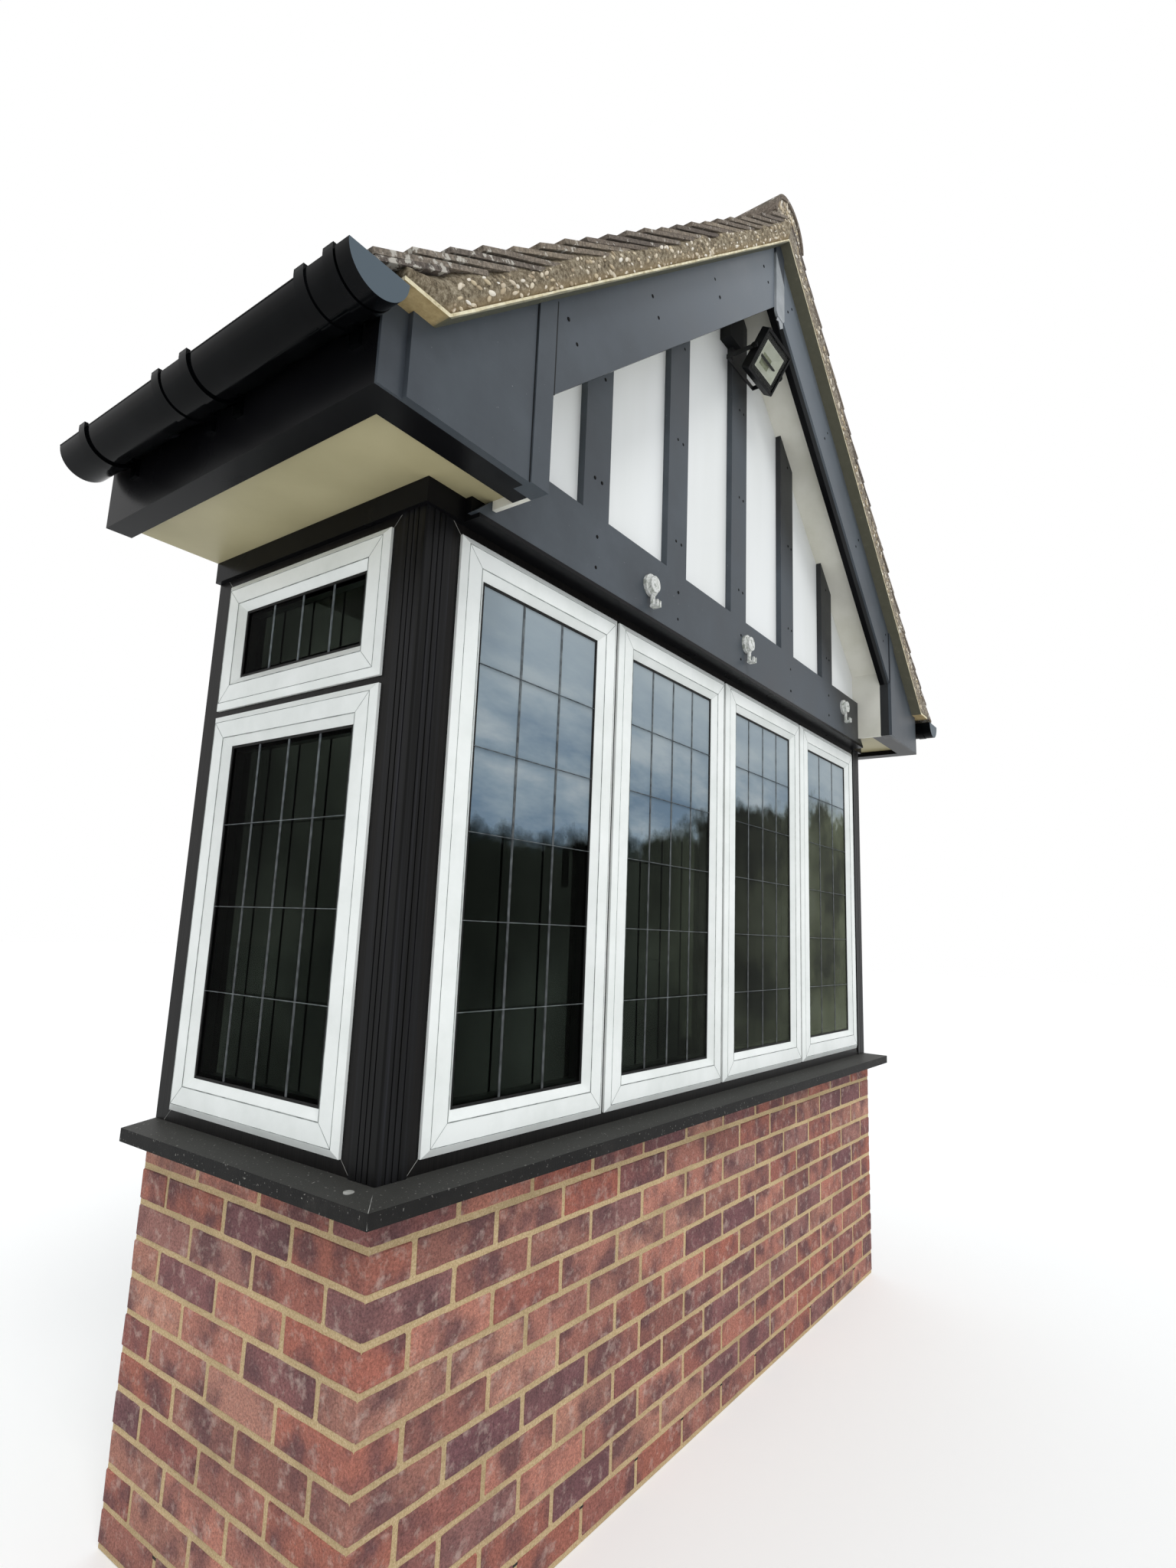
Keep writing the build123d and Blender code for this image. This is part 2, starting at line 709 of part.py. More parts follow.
ridge_board_top = roof_z(ridge_board_width / 2)
ridge_board_foot = roof_z(0, rafter_depth) + ridge_board_rise
with BuildPart() as ridge_board:
    with BuildSketch(Plane.XZ):
        with Locations((0, (ridge_board_top + ridge_board_foot) / 2)):
            Rectangle(ridge_board_width, ridge_board_top - ridge_board_foot)
    extrude(amount=barge_back)
save(ridge_board.part, "ridge_board")

deck_foot = kink - deck_stop
deck_length = deck_foot / cos(radians(pitch))
batten_count = int((deck_length - batten_first - batten_width / 2) // batten_gauge) + 1
batten_block = batten_height + batten_seat
with BuildPart() as battened_deck:
    with BuildSketch(Plane.XZ):
        Polygon(
            (mitre_joint, roof_z(mitre_joint)), (kink, fascia_top), (fascia_half, fascia_top),
            (fascia_half, tile_underside(fascia_half) - wedge_gap),
            (deck_foot, roof_z(deck_foot, -deck_thickness)),
            (mitre_joint, roof_z(mitre_joint, -deck_thickness)),
        )
        for i in range(batten_count):
            x = (batten_first + i * batten_gauge) * cos(radians(pitch))
            with Locations((x, roof_z(x, batten_block / 2 - batten_top))):
                Rectangle(batten_width, batten_block, rotation=-pitch)
    extrude(amount=undercloak_back)
save(battened_deck.part, "battened_deck_right")
save(other_hand(battened_deck.part), "battened_deck_left")

# Verge: undercloak board, mortar, then the tiles in stepped courses
lip = fascia_half + undercloak_lip
undercloak_foot = fascia_top + undercloak_thickness
undercloak_bend = (roof_x(undercloak_foot, -undercloak_thickness), undercloak_foot)
with BuildPart() as undercloak:
    with BuildSketch(Plane.XZ.offset(undercloak_back)):
        Polygon(
            (mitre_joint, roof_z(mitre_joint)), (kink, fascia_top), (lip, fascia_top),
            (lip, undercloak_foot), undercloak_bend,
            (mitre_joint, roof_z(mitre_joint, -undercloak_thickness)),
        )
    extrude(amount=undercloak_face - undercloak_back)
save(both_hands(undercloak.part), "undercloak")

with BuildPart() as verge_mortar:
    with BuildSketch(Plane.XZ.offset(undercloak_back)):
        Polygon(
            (mitre_joint, roof_z(mitre_joint, -undercloak_thickness)),
            undercloak_bend, (lip, undercloak_foot), (lip, tile_underside(lip)),
            under_kink, (mitre_joint, roof_z(mitre_joint, -batten_top)),
        )
    extrude(amount=mortar_face - undercloak_back)
save(both_hands(verge_mortar.part), "verge_mortar")

steps = []
for i, lean in enumerate(leans):
    x, z = tips[i + 1]
    steps += [tips[i], (x - tile_step * sin(lean), z - tile_step * cos(lean))]
step_x, step_z = steps[-1]
with BuildPart() as roof_tiles:
    with BuildSketch(Plane.XZ):
        Polygon(
            under_nose, *steps,
            (mitre_joint, step_z + (step_x - mitre_joint) * slope),
            (mitre_joint, roof_z(mitre_joint, -batten_top)), under_kink,
        )
    extrude(amount=tile_verge)
save(roof_tiles.part, "roof_tiles_right")
save(other_hand(roof_tiles.part), "roof_tiles_left")

# Half-round ridge tiles, bedded on mortar that fills the front end
ridge_length = (tile_verge - (ridge_count - 1) * ridge_joint) / ridge_count
with BuildPart() as ridge_tiles:
    for i in range(ridge_count):
        with BuildSketch(Plane.XZ.offset(i * (ridge_length + ridge_joint))):
            with Locations((0, ridge_level)):
                Circle(ridge_radius)
                Circle(ridge_radius - ridge_wall, mode=Mode.SUBTRACT)
                Rectangle(2 * ridge_radius, ridge_radius,
                          align=(Align.CENTER, Align.MAX), mode=Mode.SUBTRACT)
        extrude(amount=ridge_length)
save(ridge_tiles.part, "ridge_tiles")

bed_middle = ridge_radius - ridge_bed_setback - ridge_bed_width / 2
tile_slope = steps + [(0, step_z + step_x * slope), (0, fascia_top), (nose_x, fascia_top)]
with BuildPart() as ridge_mortar:
    with BuildSketch(Plane.XZ):
        for side in (-1, 1):
            with Locations((side * bed_middle, ridge_level - ridge_radius / 2)):
                Rectangle(ridge_bed_width, ridge_radius)
        Polygon(*tile_slope, mode=Mode.SUBTRACT)
        Polygon(*[(-x, z) for x, z in tile_slope], mode=Mode.SUBTRACT)
    extrude(amount=tile_verge - ridge_plug_setback)
    with BuildSketch(Plane.XZ.offset(tile_verge - ridge_plug_setback - ridge_plug)):
        with Locations((0, ridge_level)):
            Circle(ridge_radius - ridge_wall)
        Polygon(*tile_slope, mode=Mode.SUBTRACT)
        Polygon(*[(-x, z) for x, z in tile_slope], mode=Mode.SUBTRACT)
    extrude(amount=ridge_plug)
save(ridge_mortar.part, "ridge_mortar")

# Half-round gutters with stop ends and fascia brackets
gutter_x = fascia_half + gutter_gap + gutter_radius
gutter_inside = gutter_radius - gutter_wall
collar_inside = gutter_radius - gutter_wall / 2
stop_radius = gutter_radius + stop_proud
union_radius = gutter_radius + union_proud
clip_radius = gutter_radius + clip_proud
clip_lip = (clip_radius - gutter_inside, clip_rise)


def half_round(outer, inner=0.0):
    """The lower half of a ring or disc about the gutter's axis."""
    with Locations((gutter_x, gutter_rim)):
        Circle(outer)
        if inner:
            Circle(inner, mode=Mode.SUBTRACT)
        Rectangle(2 * outer, 2 * outer, align=(Align.CENTER, Align.MIN), mode=Mode.SUBTRACT)


with BuildPart() as gutter:
    with BuildSketch(Plane.XZ):
        half_round(gutter_radius, gutter_inside)
    extrude(amount=gutter_end - stop_thickness)
    with BuildSketch(Plane.XZ.offset(gutter_end - stop_collar)):
        half_round(stop_radius, collar_inside)
    extrude(amount=stop_collar - stop_thickness)
    with BuildSketch(Plane.XZ.offset(gutter_end - stop_thickness)):
        half_round(stop_radius)
    extrude(amount=stop_thickness)
    for first, last in (clip_insets[0:2], clip_insets[2:4]):
        with BuildSketch(Plane.XZ.offset(gutter_end - last)):
            half_round(union_radius, collar_inside)
        extrude(amount=last - first)
    for inset in clip_insets:
        with BuildSketch(Plane.XZ.offset(gutter_end - inset - clip_width)):
            half_round(clip_radius, collar_inside)
            with Locations((fascia_half, gutter_rim)):
                Rectangle(clip_radius, 2 * clip_radius,
                          align=(Align.MAX, Align.CENTER), mode=Mode.SUBTRACT)
            with Locations((gutter_x + gutter_inside, gutter_rim)):
                Rectangle(*clip_lip, align=(Align.MIN, Align.MIN))
        extrude(amount=clip_width)
    for inset in clip_insets[1:]:
        with BuildSketch(Plane.XZ.offset(gutter_end - inset - clip_width)):
            with Locations((fascia_half, gutter_rim)):
                Rectangle(foot_thickness, foot_drop, align=(Align.MIN, Align.MAX))
            with Locations((gutter_x, gutter_rim)):
                Circle(collar_inside, mode=Mode.SUBTRACT)
        extrude(amount=clip_width)
save(gutter.part, "gutter_right")
save(other_hand(gutter.part), "gutter_left")

# Clear hooks stuck to the beam
disc_face = beam_face + hook_disc_depth
with BuildPart() as beam_hooks:
    for inset, height in hook_places:
        x, z = box_inner - inset, beam_foot + height
        with BuildSketch(Plane.XZ.offset(beam_face)):
            with Locations((x, z)):
                Circle(hook_disc)
        extrude(amount=hook_disc_depth)
        with BuildSketch(Plane.XZ.offset(disc_face)):
            with Locations((x, z)):
                Circle(hook_boss)
        extrude(amount=hook_boss_depth)
        with BuildSketch(Plane.XZ.offset(disc_face)):
            with Locations((x, z - hook_drop / 2)):
                Rectangle(hook_stem, hook_drop)
        extrude(amount=2 * hook_rod)
        for side in (-1, 1):
            with BuildSketch(Plane.YZ.offset(x + side * hook_stem / 2 - hook_rod)):
                Polygon(
                    (-disc_face, z - hook_drop),
                    (-disc_face - hook_reach - 2 * hook_rod, z - hook_drop),
                    (-disc_face - hook_reach - 2 * hook_rod, z - hook_drop + hook_reach),
                    (-disc_face - hook_reach, z - hook_drop + hook_reach),
                    (-disc_face - hook_reach, z - hook_drop + 2 * hook_rod),
                    (-disc_face, z - hook_drop + 2 * hook_rod),
                )
            extrude(amount=2 * hook_rod)
save(beam_hooks.part, "beam_hooks")

# Floodlight: yoke on the middle stud, tilting head, lens
lamp_plane = Plane(
    origin=(0, -lamp_y, lamp_z), x_dir=(1, 0, 0),
    z_dir=(0, -cos(radians(lamp_tilt)), -sin(radians(lamp_tilt))),
)
yoke_half = lamp_width / 2 + yoke_gap + yoke_strap
yoke_front = lamp_y + yoke_tip
yoke_inside = stud_face + yoke_strap
with BuildPart() as floodlight_yoke:
    with BuildSketch(Plane.XY.offset(lamp_z - yoke_width / 2)):
        with Locations((0, -(stud_face + yoke_front) / 2)):
            Rectangle(2 * yoke_half, yoke_front - stud_face)
        with Locations((0, -(yoke_inside + yoke_front) / 2)):
            Rectangle(2 * (yoke_half - yoke_strap), yoke_front - yoke_inside, mode=Mode.SUBTRACT)
    extrude(amount=yoke_width)
    with BuildSketch(Plane.YZ.offset(-yoke_half)):
        with Locations((-lamp_y, lamp_z)):
            Circle(pivot_radius + pivot_fit)
    extrude(amount=2 * yoke_half, mode=Mode.SUBTRACT)
save(floodlight_yoke.part, "floodlight_yoke")

pin_half = yoke_half + pivot_fit
fin_span = lamp_width - 2 * fin_margin
with BuildPart() as floodlight_head:
    with BuildSketch(lamp_plane.offset(-lamp_depth / 2)):
        RectangleRounded(lamp_width, lamp_height, lamp_corner)
    extrude(amount=lamp_depth)
    with BuildSketch(lamp_plane.offset(lamp_depth / 2)):
        Rectangle(lamp_width - 2 * lamp_rim, lamp_height - 2 * lamp_rim)
    extrude(amount=-lamp_recess, mode=Mode.SUBTRACT)
    with BuildSketch(lamp_plane.offset(lamp_depth / 2 - lamp_recess)):
        Rectangle(lamp_width - 2 * reflector_edge, lamp_height - 2 * reflector_edge)
    with BuildSketch(lamp_plane.offset(lamp_depth / 2 - lamp_recess - reflector_depth)):
        Rectangle(reflector_width, reflector_height)
    loft(mode=Mode.SUBTRACT)
    with BuildSketch(lamp_plane.offset(-lamp_depth / 2)):
        with GridLocations(fin_span / (fin_count - 1), 0, fin_count, 1):
            Rectangle(fin_width, lamp_height - 2 * fin_margin)
    extrude(amount=-fin_height)
    with BuildSketch(Plane.YZ.offset(-pin_half)):
        with Locations((-lamp_y, lamp_z)):
            Circle(pivot_radius)
    extrude(amount=2 * pin_half)
    for start in (pin_half, -pin_half - knob_thickness):
        with BuildSketch(Plane.YZ.offset(start)):
            with Locations((-lamp_y, lamp_z)):
                Circle(knob_radius)
        extrude(amount=knob_thickness)
save(floodlight_head.part, "floodlight_head")

with BuildPart() as floodlight_lens:
    with BuildSketch(lamp_plane.offset(lamp_depth / 2 - lamp_recess)):
        Rectangle(lamp_width - 2 * lamp_rim, lamp_height - 2 * lamp_rim)
    extrude(amount=lens_thickness)
save(floodlight_lens.part, "floodlight_lens")

with BuildPart() as junction_box:
    with BuildSketch(Plane.XZ.offset(wall_face)):
        with Locations((-junction_side, junction_z)):
            Rectangle(junction_width, junction_height)
        gable_outline(mode=Mode.INTERSECT)
    extrude(amount=junction_depth)
    with BuildSketch(Plane.XZ.offset(wall_face)):
        with Locations((0, beam_top)):
            Rectangle(stud_width, 2 * (apex - beam_top))
    extrude(amount=stud_thickness, mode=Mode.SUBTRACT)
save(junction_box.part, "junction_box")
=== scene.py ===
import bpy, bmesh, math, random
from mathutils import Matrix, Vector, noise


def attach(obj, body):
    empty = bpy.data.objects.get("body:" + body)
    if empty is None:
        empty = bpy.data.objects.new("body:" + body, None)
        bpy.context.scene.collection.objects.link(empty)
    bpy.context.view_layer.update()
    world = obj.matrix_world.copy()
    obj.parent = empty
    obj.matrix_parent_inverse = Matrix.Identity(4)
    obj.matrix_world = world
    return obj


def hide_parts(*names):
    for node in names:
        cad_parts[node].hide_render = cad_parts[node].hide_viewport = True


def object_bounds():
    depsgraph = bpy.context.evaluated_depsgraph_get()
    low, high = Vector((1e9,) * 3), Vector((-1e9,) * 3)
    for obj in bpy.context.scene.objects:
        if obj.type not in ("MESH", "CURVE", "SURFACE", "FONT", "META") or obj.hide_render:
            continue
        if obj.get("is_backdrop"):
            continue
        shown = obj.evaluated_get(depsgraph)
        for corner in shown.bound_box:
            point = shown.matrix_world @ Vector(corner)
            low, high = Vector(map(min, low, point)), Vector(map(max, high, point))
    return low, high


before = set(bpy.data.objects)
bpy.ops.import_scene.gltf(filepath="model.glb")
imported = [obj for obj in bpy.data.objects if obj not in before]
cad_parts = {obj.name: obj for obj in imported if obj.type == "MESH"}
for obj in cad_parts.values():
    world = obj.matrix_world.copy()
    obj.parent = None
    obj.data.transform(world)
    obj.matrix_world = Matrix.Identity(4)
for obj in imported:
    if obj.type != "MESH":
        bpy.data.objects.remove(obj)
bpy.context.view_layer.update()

mm = 0.001
roofPitch = 41.5
slope = math.tan(math.radians(roofPitch))
corners = ((-1, -1), (1, -1), (1, 1), (-1, 1))
print("frame loaded")

noiseKind, rampKind, mixKind = "ShaderNodeTexNoise", "ShaderNodeValToRGB", "ShaderNodeMix"
bumpKind, mapKind, cellKind = "ShaderNodeBump", "ShaderNodeMapping", "ShaderNodeTexVoronoi"
splitKind, mathKind, spanKind = "ShaderNodeSeparateXYZ", "ShaderNodeMath", "ShaderNodeMapRange"
vectorKind, toneKind = "ShaderNodeVectorMath", "ShaderNodeAttribute"
sums = ("ADD", "MULTIPLY", "MULTIPLY_ADD", "ABSOLUTE", "MAXIMUM", "LESS_THAN", "GREATER_THAN")
groups = {  # settings that are given together under one word
    "grain": ("Scale", "Detail", "Roughness"), "lift": ("Distance", "Strength"),
    "span": ("From Min", "From Max", "To Min", "To Max"),
}


def toLinear(hexColour):
    parts = [int(hexColour[i:i + 2], 16) / 255 for i in (1, 3, 5)]
    return tuple(p / 12.92 if p <= 0.04045 else ((p + 0.055) / 1.055) ** 2.4 for p in parts) + (1.0,)


def wire(node, links):  # a source is a socket, or a node whose first output in use is meant
    for key, source in links.items():
        if isinstance(source, bpy.types.Node):
            source = next(socket for socket in source.outputs if socket.enabled)
        node.id_data.links.new(source, node.inputs[key])


def addNode(tree, kind, settings=None, links=None):  # one node, its settings, then its links
    node = tree.nodes.new(mathKind if kind in sums else kind)
    if kind in sums:  # a sum goes by its operation
        node.operation = kind
    if kind == mixKind:  # only colours are mixed here
        node.data_type = "RGBA"
    for key, value in (settings or {}).items():
        if isinstance(value, str) and value.startswith("#"):
            value = toLinear(value)
        if key == "stops":  # a ramp's places, each with a colour or a grey level
            line = node.color_ramp
            while len(line.elements) < len(value):
                line.elements.new(0.5)
            for element, (at, colour) in zip(line.elements, value):
                element.position = at
                element.color = toLinear(colour) if isinstance(colour, str) else (colour, colour, colour, 1)
        elif key in groups:
            for socket, number in zip(groups[key], value):
                node.inputs[socket].default_value = number
        elif isinstance(key, int) or key in node.inputs:
            node.inputs[key].default_value = value
        else:
            setattr(node, key, value)
    wire(node, links or {})
    return node


def startMaterial(name, colour, roughness, specular=0.5, **sockets):
    material = bpy.data.materials.new(name)
    material.use_nodes = True
    tree = material.node_tree
    shader = tree.nodes["Principled BSDF"]
    shader.inputs["Base Color"].default_value = toLinear(colour)
    shader.inputs["Roughness"].default_value = roughness
    shader.inputs["Specular IOR Level"].default_value = specular
    for key, value in sockets.items():
        shader.inputs[key.replace("_", " ")].default_value = value
    material.diffuse_color = toLinear(colour)
    place = addNode(tree, "ShaderNodeTexCoord").outputs["Object"]
    return material, tree, shader, place


def patches(tree, place, grain, stops):  # one noise turned into colours or grey levels
    return addNode(tree, rampKind, {"stops": stops}, {0: addNode(tree, noiseKind, {"grain": grain}, {0: place})})


def facingUp(tree, span):  # the share of a layer by how far a face looks up
    normal = addNode(tree, "ShaderNodeNewGeometry").outputs["Normal"]
    level = addNode(tree, splitKind, {}, {0: normal}).outputs["Z"]
    return addNode(tree, spanKind, {"span": span}, {"Value": level})


def slopeLevel(tree, place):  # a height that stays the same all along the slope of the roof
    spot = addNode(tree, splitKind, {}, {0: place}).outputs
    out = addNode(tree, "ABSOLUTE", {}, {0: spot["X"]})
    return addNode(tree, "MULTIPLY_ADD", {1: slope}, {0: out, 2: spot["Z"]})


def plainMaterial(name, colour, roughness, grain, tint=None, dull=None, lift=None, stretch=None, **sockets):
    material, tree, shader, place = startMaterial(name, colour, roughness, **sockets)
    if stretch:
        place = addNode(tree, mapKind, {"Scale": stretch}, {0: place})
    pattern = addNode(tree, noiseKind, {"grain": grain}, {0: place})
    for socket, stops in (("Base Color", tint), ("Roughness", dull)):
        if stops:
            wire(shader, {socket: addNode(tree, rampKind, {"stops": stops}, {0: pattern})})
    if lift:
        wire(shader, {"Normal": addNode(tree, bumpKind, {"lift": lift}, {"Height": pattern})})
    return material


# Where the weather and the painted light show, in metres: a span runs between two places and may give the share at
# each
weatherAndPaintedLight = {
    "bargeBack": -0.95, "paintedSheenHigh": (2.7, 3.6, 0.0, 0.62), "shaded": (2.93, 3.2), "tornLean": 1.33,
    "torn": (3.564, 3.572), "lichen": (2.75, 2.35, 0.0, 0.075), "smeared": (3.674, 3.697, 0.75, 0.0),
    "golden": (1.48, 1.5), "wave": -0.008, "grime": (3.6605, 3.6615, 0.85, 0.0), "skyOnGutterEnd": -1.0095,
    "paintedGlintHeights": (1.4, 1.8),
}

# Fired clay facing brick, sand faced and flashed in the kiln: orange red to plum, dull and gritty
facingBrick, tree, shader, place = startMaterial("facingBrick", "#94473b", 0.92, 0.3)
tone = addNode(tree, toneKind, {"attribute_name": "tone"}).outputs["Fac"]
fired = addNode(tree, rampKind, {"stops": [
    (0.0, "#a86657"), (0.17, "#be8372"), (0.34, "#895a53"), (0.5, "#c48f7b"), (0.67, "#7a5458"),
    (0.84, "#a96b5b"), (1.0, "#885e5e")]}, {0: tone})
own = addNode(tree, vectorKind, {"operation": "ADD"}, {0: place, 1: tone})
flash = patches(tree, own, (11.0, 3.0), [(0.44, 0.0), (0.64, 0.85)])  # 90 mm kiln flashes
fired = addNode(tree, mixKind, {7: "#684a4c"}, {0: flash, 6: fired})
grit = addNode(tree, noiseKind, {"grain": (210.0, 5.0, 0.8)}, {0: place})  # 5 mm, coarser so that it shows
sand = addNode(tree, rampKind, {"stops": [(0.32, 0.16), (0.68, 0.86)]}, {0: grit})
fired = addNode(tree, mixKind, {"blend_type": "OVERLAY", 0: 0.75}, {6: fired, 7: sand})
bloom = patches(tree, own, (34.0, 6.0, 0.7), [(0.53, 0.0), (0.7, 0.5)])  # salts
fired = addNode(tree, mixKind, {7: "#d9c3b6"}, {0: bloom, 6: fired})
relief = addNode(tree, bumpKind, {"Distance": 0.0025}, {"Height": grit})
wire(shader, {"Base Color": fired, "Normal": relief})

# Lime and sand mortar, brushed nearly flush with the brick: golden, with dark and pale grains
jointMortar, tree, shader, place = startMaterial("jointMortar", "#bba478", 0.95, 0.3)
grit = addNode(tree, noiseKind, {"grain": (260.0, 6.0, 0.8)}, {0: place})
sand = addNode(tree, rampKind, {"stops": [(0.3, "#ab916a"), (0.5, "#d8bd90"), (0.7, "#f0deb8")]}, {0: grit})
damp = patches(tree, place, (5.0, 4.0), [(0.45, 0.0), (0.75, 0.45)])
sand = addNode(tree, mixKind, {7: "#91805f"}, {0: damp, 6: sand})
relief = addNode(tree, bumpKind, {"Distance": 0.003}, {"Height": grit})
wire(shader, {"Base Color": sand, "Normal": relief})

# Bitumen felt damp course: a dull black edge in the joint
dampFelt = plainMaterial("dampFelt", "#1b1a19", 0.8, (300.0,), lift=(0.0005,))

# Gypsum plaster inside, trowelled and painted off white
wallPlaster = plainMaterial("wallPlaster", "#dedad0", 0.7, (12.0, 4.0), lift=(0.0006,))

# Black foiled PVC-U frame profile, extruded: satin brown black, fine grain embossed along it
foiledBlack = plainMaterial("foiledBlack", "#100f0e", 0.34, (1.0, 4.0), [(0.35, "#0b0a0a"), (0.7, "#181615")],
                            lift=(0.00025, 0.6), stretch=(300.0, 300.0, 5.0), specular=0.12)

# Black foiled post cover, extruded: as the frame, with dust washed down it in pale streaks
foiledPost = plainMaterial(
    "foiledPost", "#121213", 0.36, (1.0, 5.0, 0.6), [(0.42, "#0a0a0a"), (0.6, "#161618"), (0.78, "#2c2c31")],
    dull=[(0.4, 0.3), (0.75, 0.5)], stretch=(95.0, 95.0, 1.4), specular=0.13)

# White foiled PVC-U sash profile, extruded: satin, cool white, shallow grain
foiledWhite, tree, shader, place = startMaterial("foiledWhite", "#eaeeec", 0.33, 0.4)
along = addNode(tree, mapKind, {"Scale": (420.0, 420.0, 12.0)}, {0: place})
grain = addNode(tree, noiseKind, {"grain": (1.0, 4.0)}, {0: along})
tint = patches(tree, place, (6.0, 6.0, 0.65), [(0.3, "#e6eae6"), (0.6, "#f3f6f3")])
relief = addNode(tree, bumpKind, {"lift": (0.0002, 0.5)}, {"Height": grain})
wire(shader, {"Base Color": tint, "Normal": relief})

# Anthracite foiled cellular board: satin slate grey with a blue cast, dust and small pale specks
foiledSlate, tree, shader, place = startMaterial("foiledSlate", "#444a50", 0.42, 0.18)
dust = addNode(tree, noiseKind, {"grain": (3.5, 7.0, 0.62)}, {0: place})
tint = addNode(tree, rampKind, {"stops": [(0.3, "#3e4349"), (0.52, "#484e54"), (0.75, "#545a61")]}, {0: dust})
spot = addNode(tree, splitKind, {}, {0: place}).outputs
fore = addNode(tree, "LESS_THAN", {1: weatherAndPaintedLight["bargeBack"]}, {0: spot["Y"]})
high = addNode(tree, spanKind, {"span": weatherAndPaintedLight["paintedSheenHigh"]}, {"Value": spot["Z"]})
high = addNode(tree, "MULTIPLY", {}, {0: fore, 1: high})  # the barge boards, painted lighter high up as a painted sheen of sky reflection
tint = addNode(tree, mixKind, {7: "#858d95"}, {0: high, 6: tint})
# painted shadow of the right barge board, deepening up the slope; the barge boards themselves are kept out of it
near = addNode(tree, "MULTIPLY_ADD", {1: slope}, {0: spot["X"], 2: spot["Z"]})
near = addNode(tree, spanKind, {"span": weatherAndPaintedLight["shaded"]}, {"Value": near})
near = addNode(tree, "MULTIPLY_ADD", {1: -1.0, 2: 1.0}, {0: near})
near = addNode(tree, "MAXIMUM", {}, {0: near, 1: fore})
tint = addNode(tree, mixKind, {6: "#303132"}, {0: near, 7: tint})  # painted shadow: studs darker under the right verge, where the barge board's shade falls
speck = patches(tree, place, (130.0, 2.0), [(0.76, 0.0), (0.8, 0.9)])
tint = addNode(tree, mixKind, {7: "#85888a"}, {0: speck, 6: tint})
dull = addNode(tree, rampKind, {"stops": [(0.3, 0.3), (0.7, 0.5)]}, {0: dust})
along = addNode(tree, mapKind, {"Scale": (10.0, 300.0, 300.0)}, {0: place})
grain = addNode(tree, noiseKind, {"grain": (1.0, 4.0)}, {0: along})
relief = addNode(tree, bumpKind, {"lift": (0.0002, 0.5)}, {"Height": grain})
wire(shader, {"Base Color": tint, "Roughness": dull, "Normal": relief})

# The same board's cover at the apex: pale grey, but slate grey at its upper right above a leaning line
bleachedCover, tree, shader, place = startMaterial("bleachedCover", "#989da0", 0.42, 0.18)
spot = addNode(tree, splitKind, {}, {0: place}).outputs
lean = addNode(tree, "MULTIPLY_ADD", {1: weatherAndPaintedLight["tornLean"]}, {0: spot["X"], 2: spot["Z"]})
lean = addNode(tree, spanKind, {"span": weatherAndPaintedLight["torn"]}, {"Value": lean})
tint = patches(tree, place, (14.0, 5.0), [(0.35, "#8d9295"), (0.65, "#a3a7aa")])
wire(shader, {"Base Color": addNode(tree, mixKind, {7: "#3f444a"}, {0: lean, 6: tint})})

# Black foiled cellular trim and fascia: satin black, a little dust
foiledTrim = plainMaterial("foiledTrim", "#0b0b0d", 0.3, (2.5, 4.0), [(0.35, "#08080a"), (0.75, "#131315")],
                           [(0.35, 0.25), (0.75, 0.33)], specular=0.08)

# Cast sill with a dark coating: matt charcoal, lighter on what faces up, pale grains
coatedSill, tree, shader, place = startMaterial("coatedSill", "#1a1a1a", 0.55, 0.12)
tint = patches(tree, place, (9.0, 7.0, 0.7), [(0.35, "#161616"), (0.6, "#201f1e"), (0.8, "#353330")])
tint = addNode(tree, mixKind, {7: "#42423f"}, {0: facingUp(tree, (0.5, 0.9, 0.0, 0.75)), 6: tint})
speck = patches(tree, place, (170.0, 3.0), [(0.66, 0.0), (0.72, 0.8)])
tint = addNode(tree, mixKind, {7: "#8d8b86"}, {0: speck, 6: tint})
cast = addNode(tree, noiseKind, {"Scale": 300.0}, {0: place})
relief = addNode(tree, bumpKind, {"Distance": 0.0004}, {"Height": cast})
wire(shader, {"Base Color": tint, "Normal": relief})

# White cellular board of the gable panels: flat satin white, faint rain marks down it
cellularWhite = plainMaterial("cellularWhite", "#eef1f0", 0.42, (1.0, 4.0), [(0.3, "#e9ebe9"), (0.6, "#eef0ef")],
                              stretch=(7.0, 7.0, 0.9), specular=0.35)

# Ivory painted board of the sloping soffit and the box sides: satin, a little weathered
ivoryBoard = plainMaterial("ivoryBoard", "#e0ddd0", 0.45, (4.0, 6.0, 0.6), [(0.3, "#d4d2c3"), (0.6, "#e5e3d8")],
                           specular=0.35)

# Cream level soffit board: satin, a darker and yellower cream than the ivory boards
creamSoffit = plainMaterial("creamSoffit", "#cbc1a3", 0.42, (3.0, 5.0), [(0.3, "#a9a07b"), (0.7, "#c0b791")],
                            specular=0.35)

# Clay plain tile, weathered: grey brown, white lichen, dark moss on what faces up
plainTile, tree, shader, place = startMaterial("plainTile", "#6b6255", 0.92, 0.3)
tone = addNode(tree, toneKind, {"attribute_name": "tone"}).outputs["Fac"]
fired = addNode(tree, rampKind, {"stops": [
    (0.0, "#766b60"), (0.35, "#8e8376"), (0.6, "#675e57"), (0.85, "#978a79"), (1.0, "#7b7064")]}, {0: tone})
sand = patches(tree, place, (130.0, 6.0, 0.85), [(0.33, 0.08), (0.5, 0.5), (0.66, 0.97)])  # 8 mm, to show
fired = addNode(tree, mixKind, {"blend_type": "OVERLAY", 0: 0.85}, {6: fired, 7: sand})
moss = patches(tree, place, (16.0, 7.0, 0.7), [(0.42, 0.0), (0.6, 0.9)])
moss = addNode(tree, "MULTIPLY", {}, {0: moss, 1: facingUp(tree, (0.2, 0.7))})
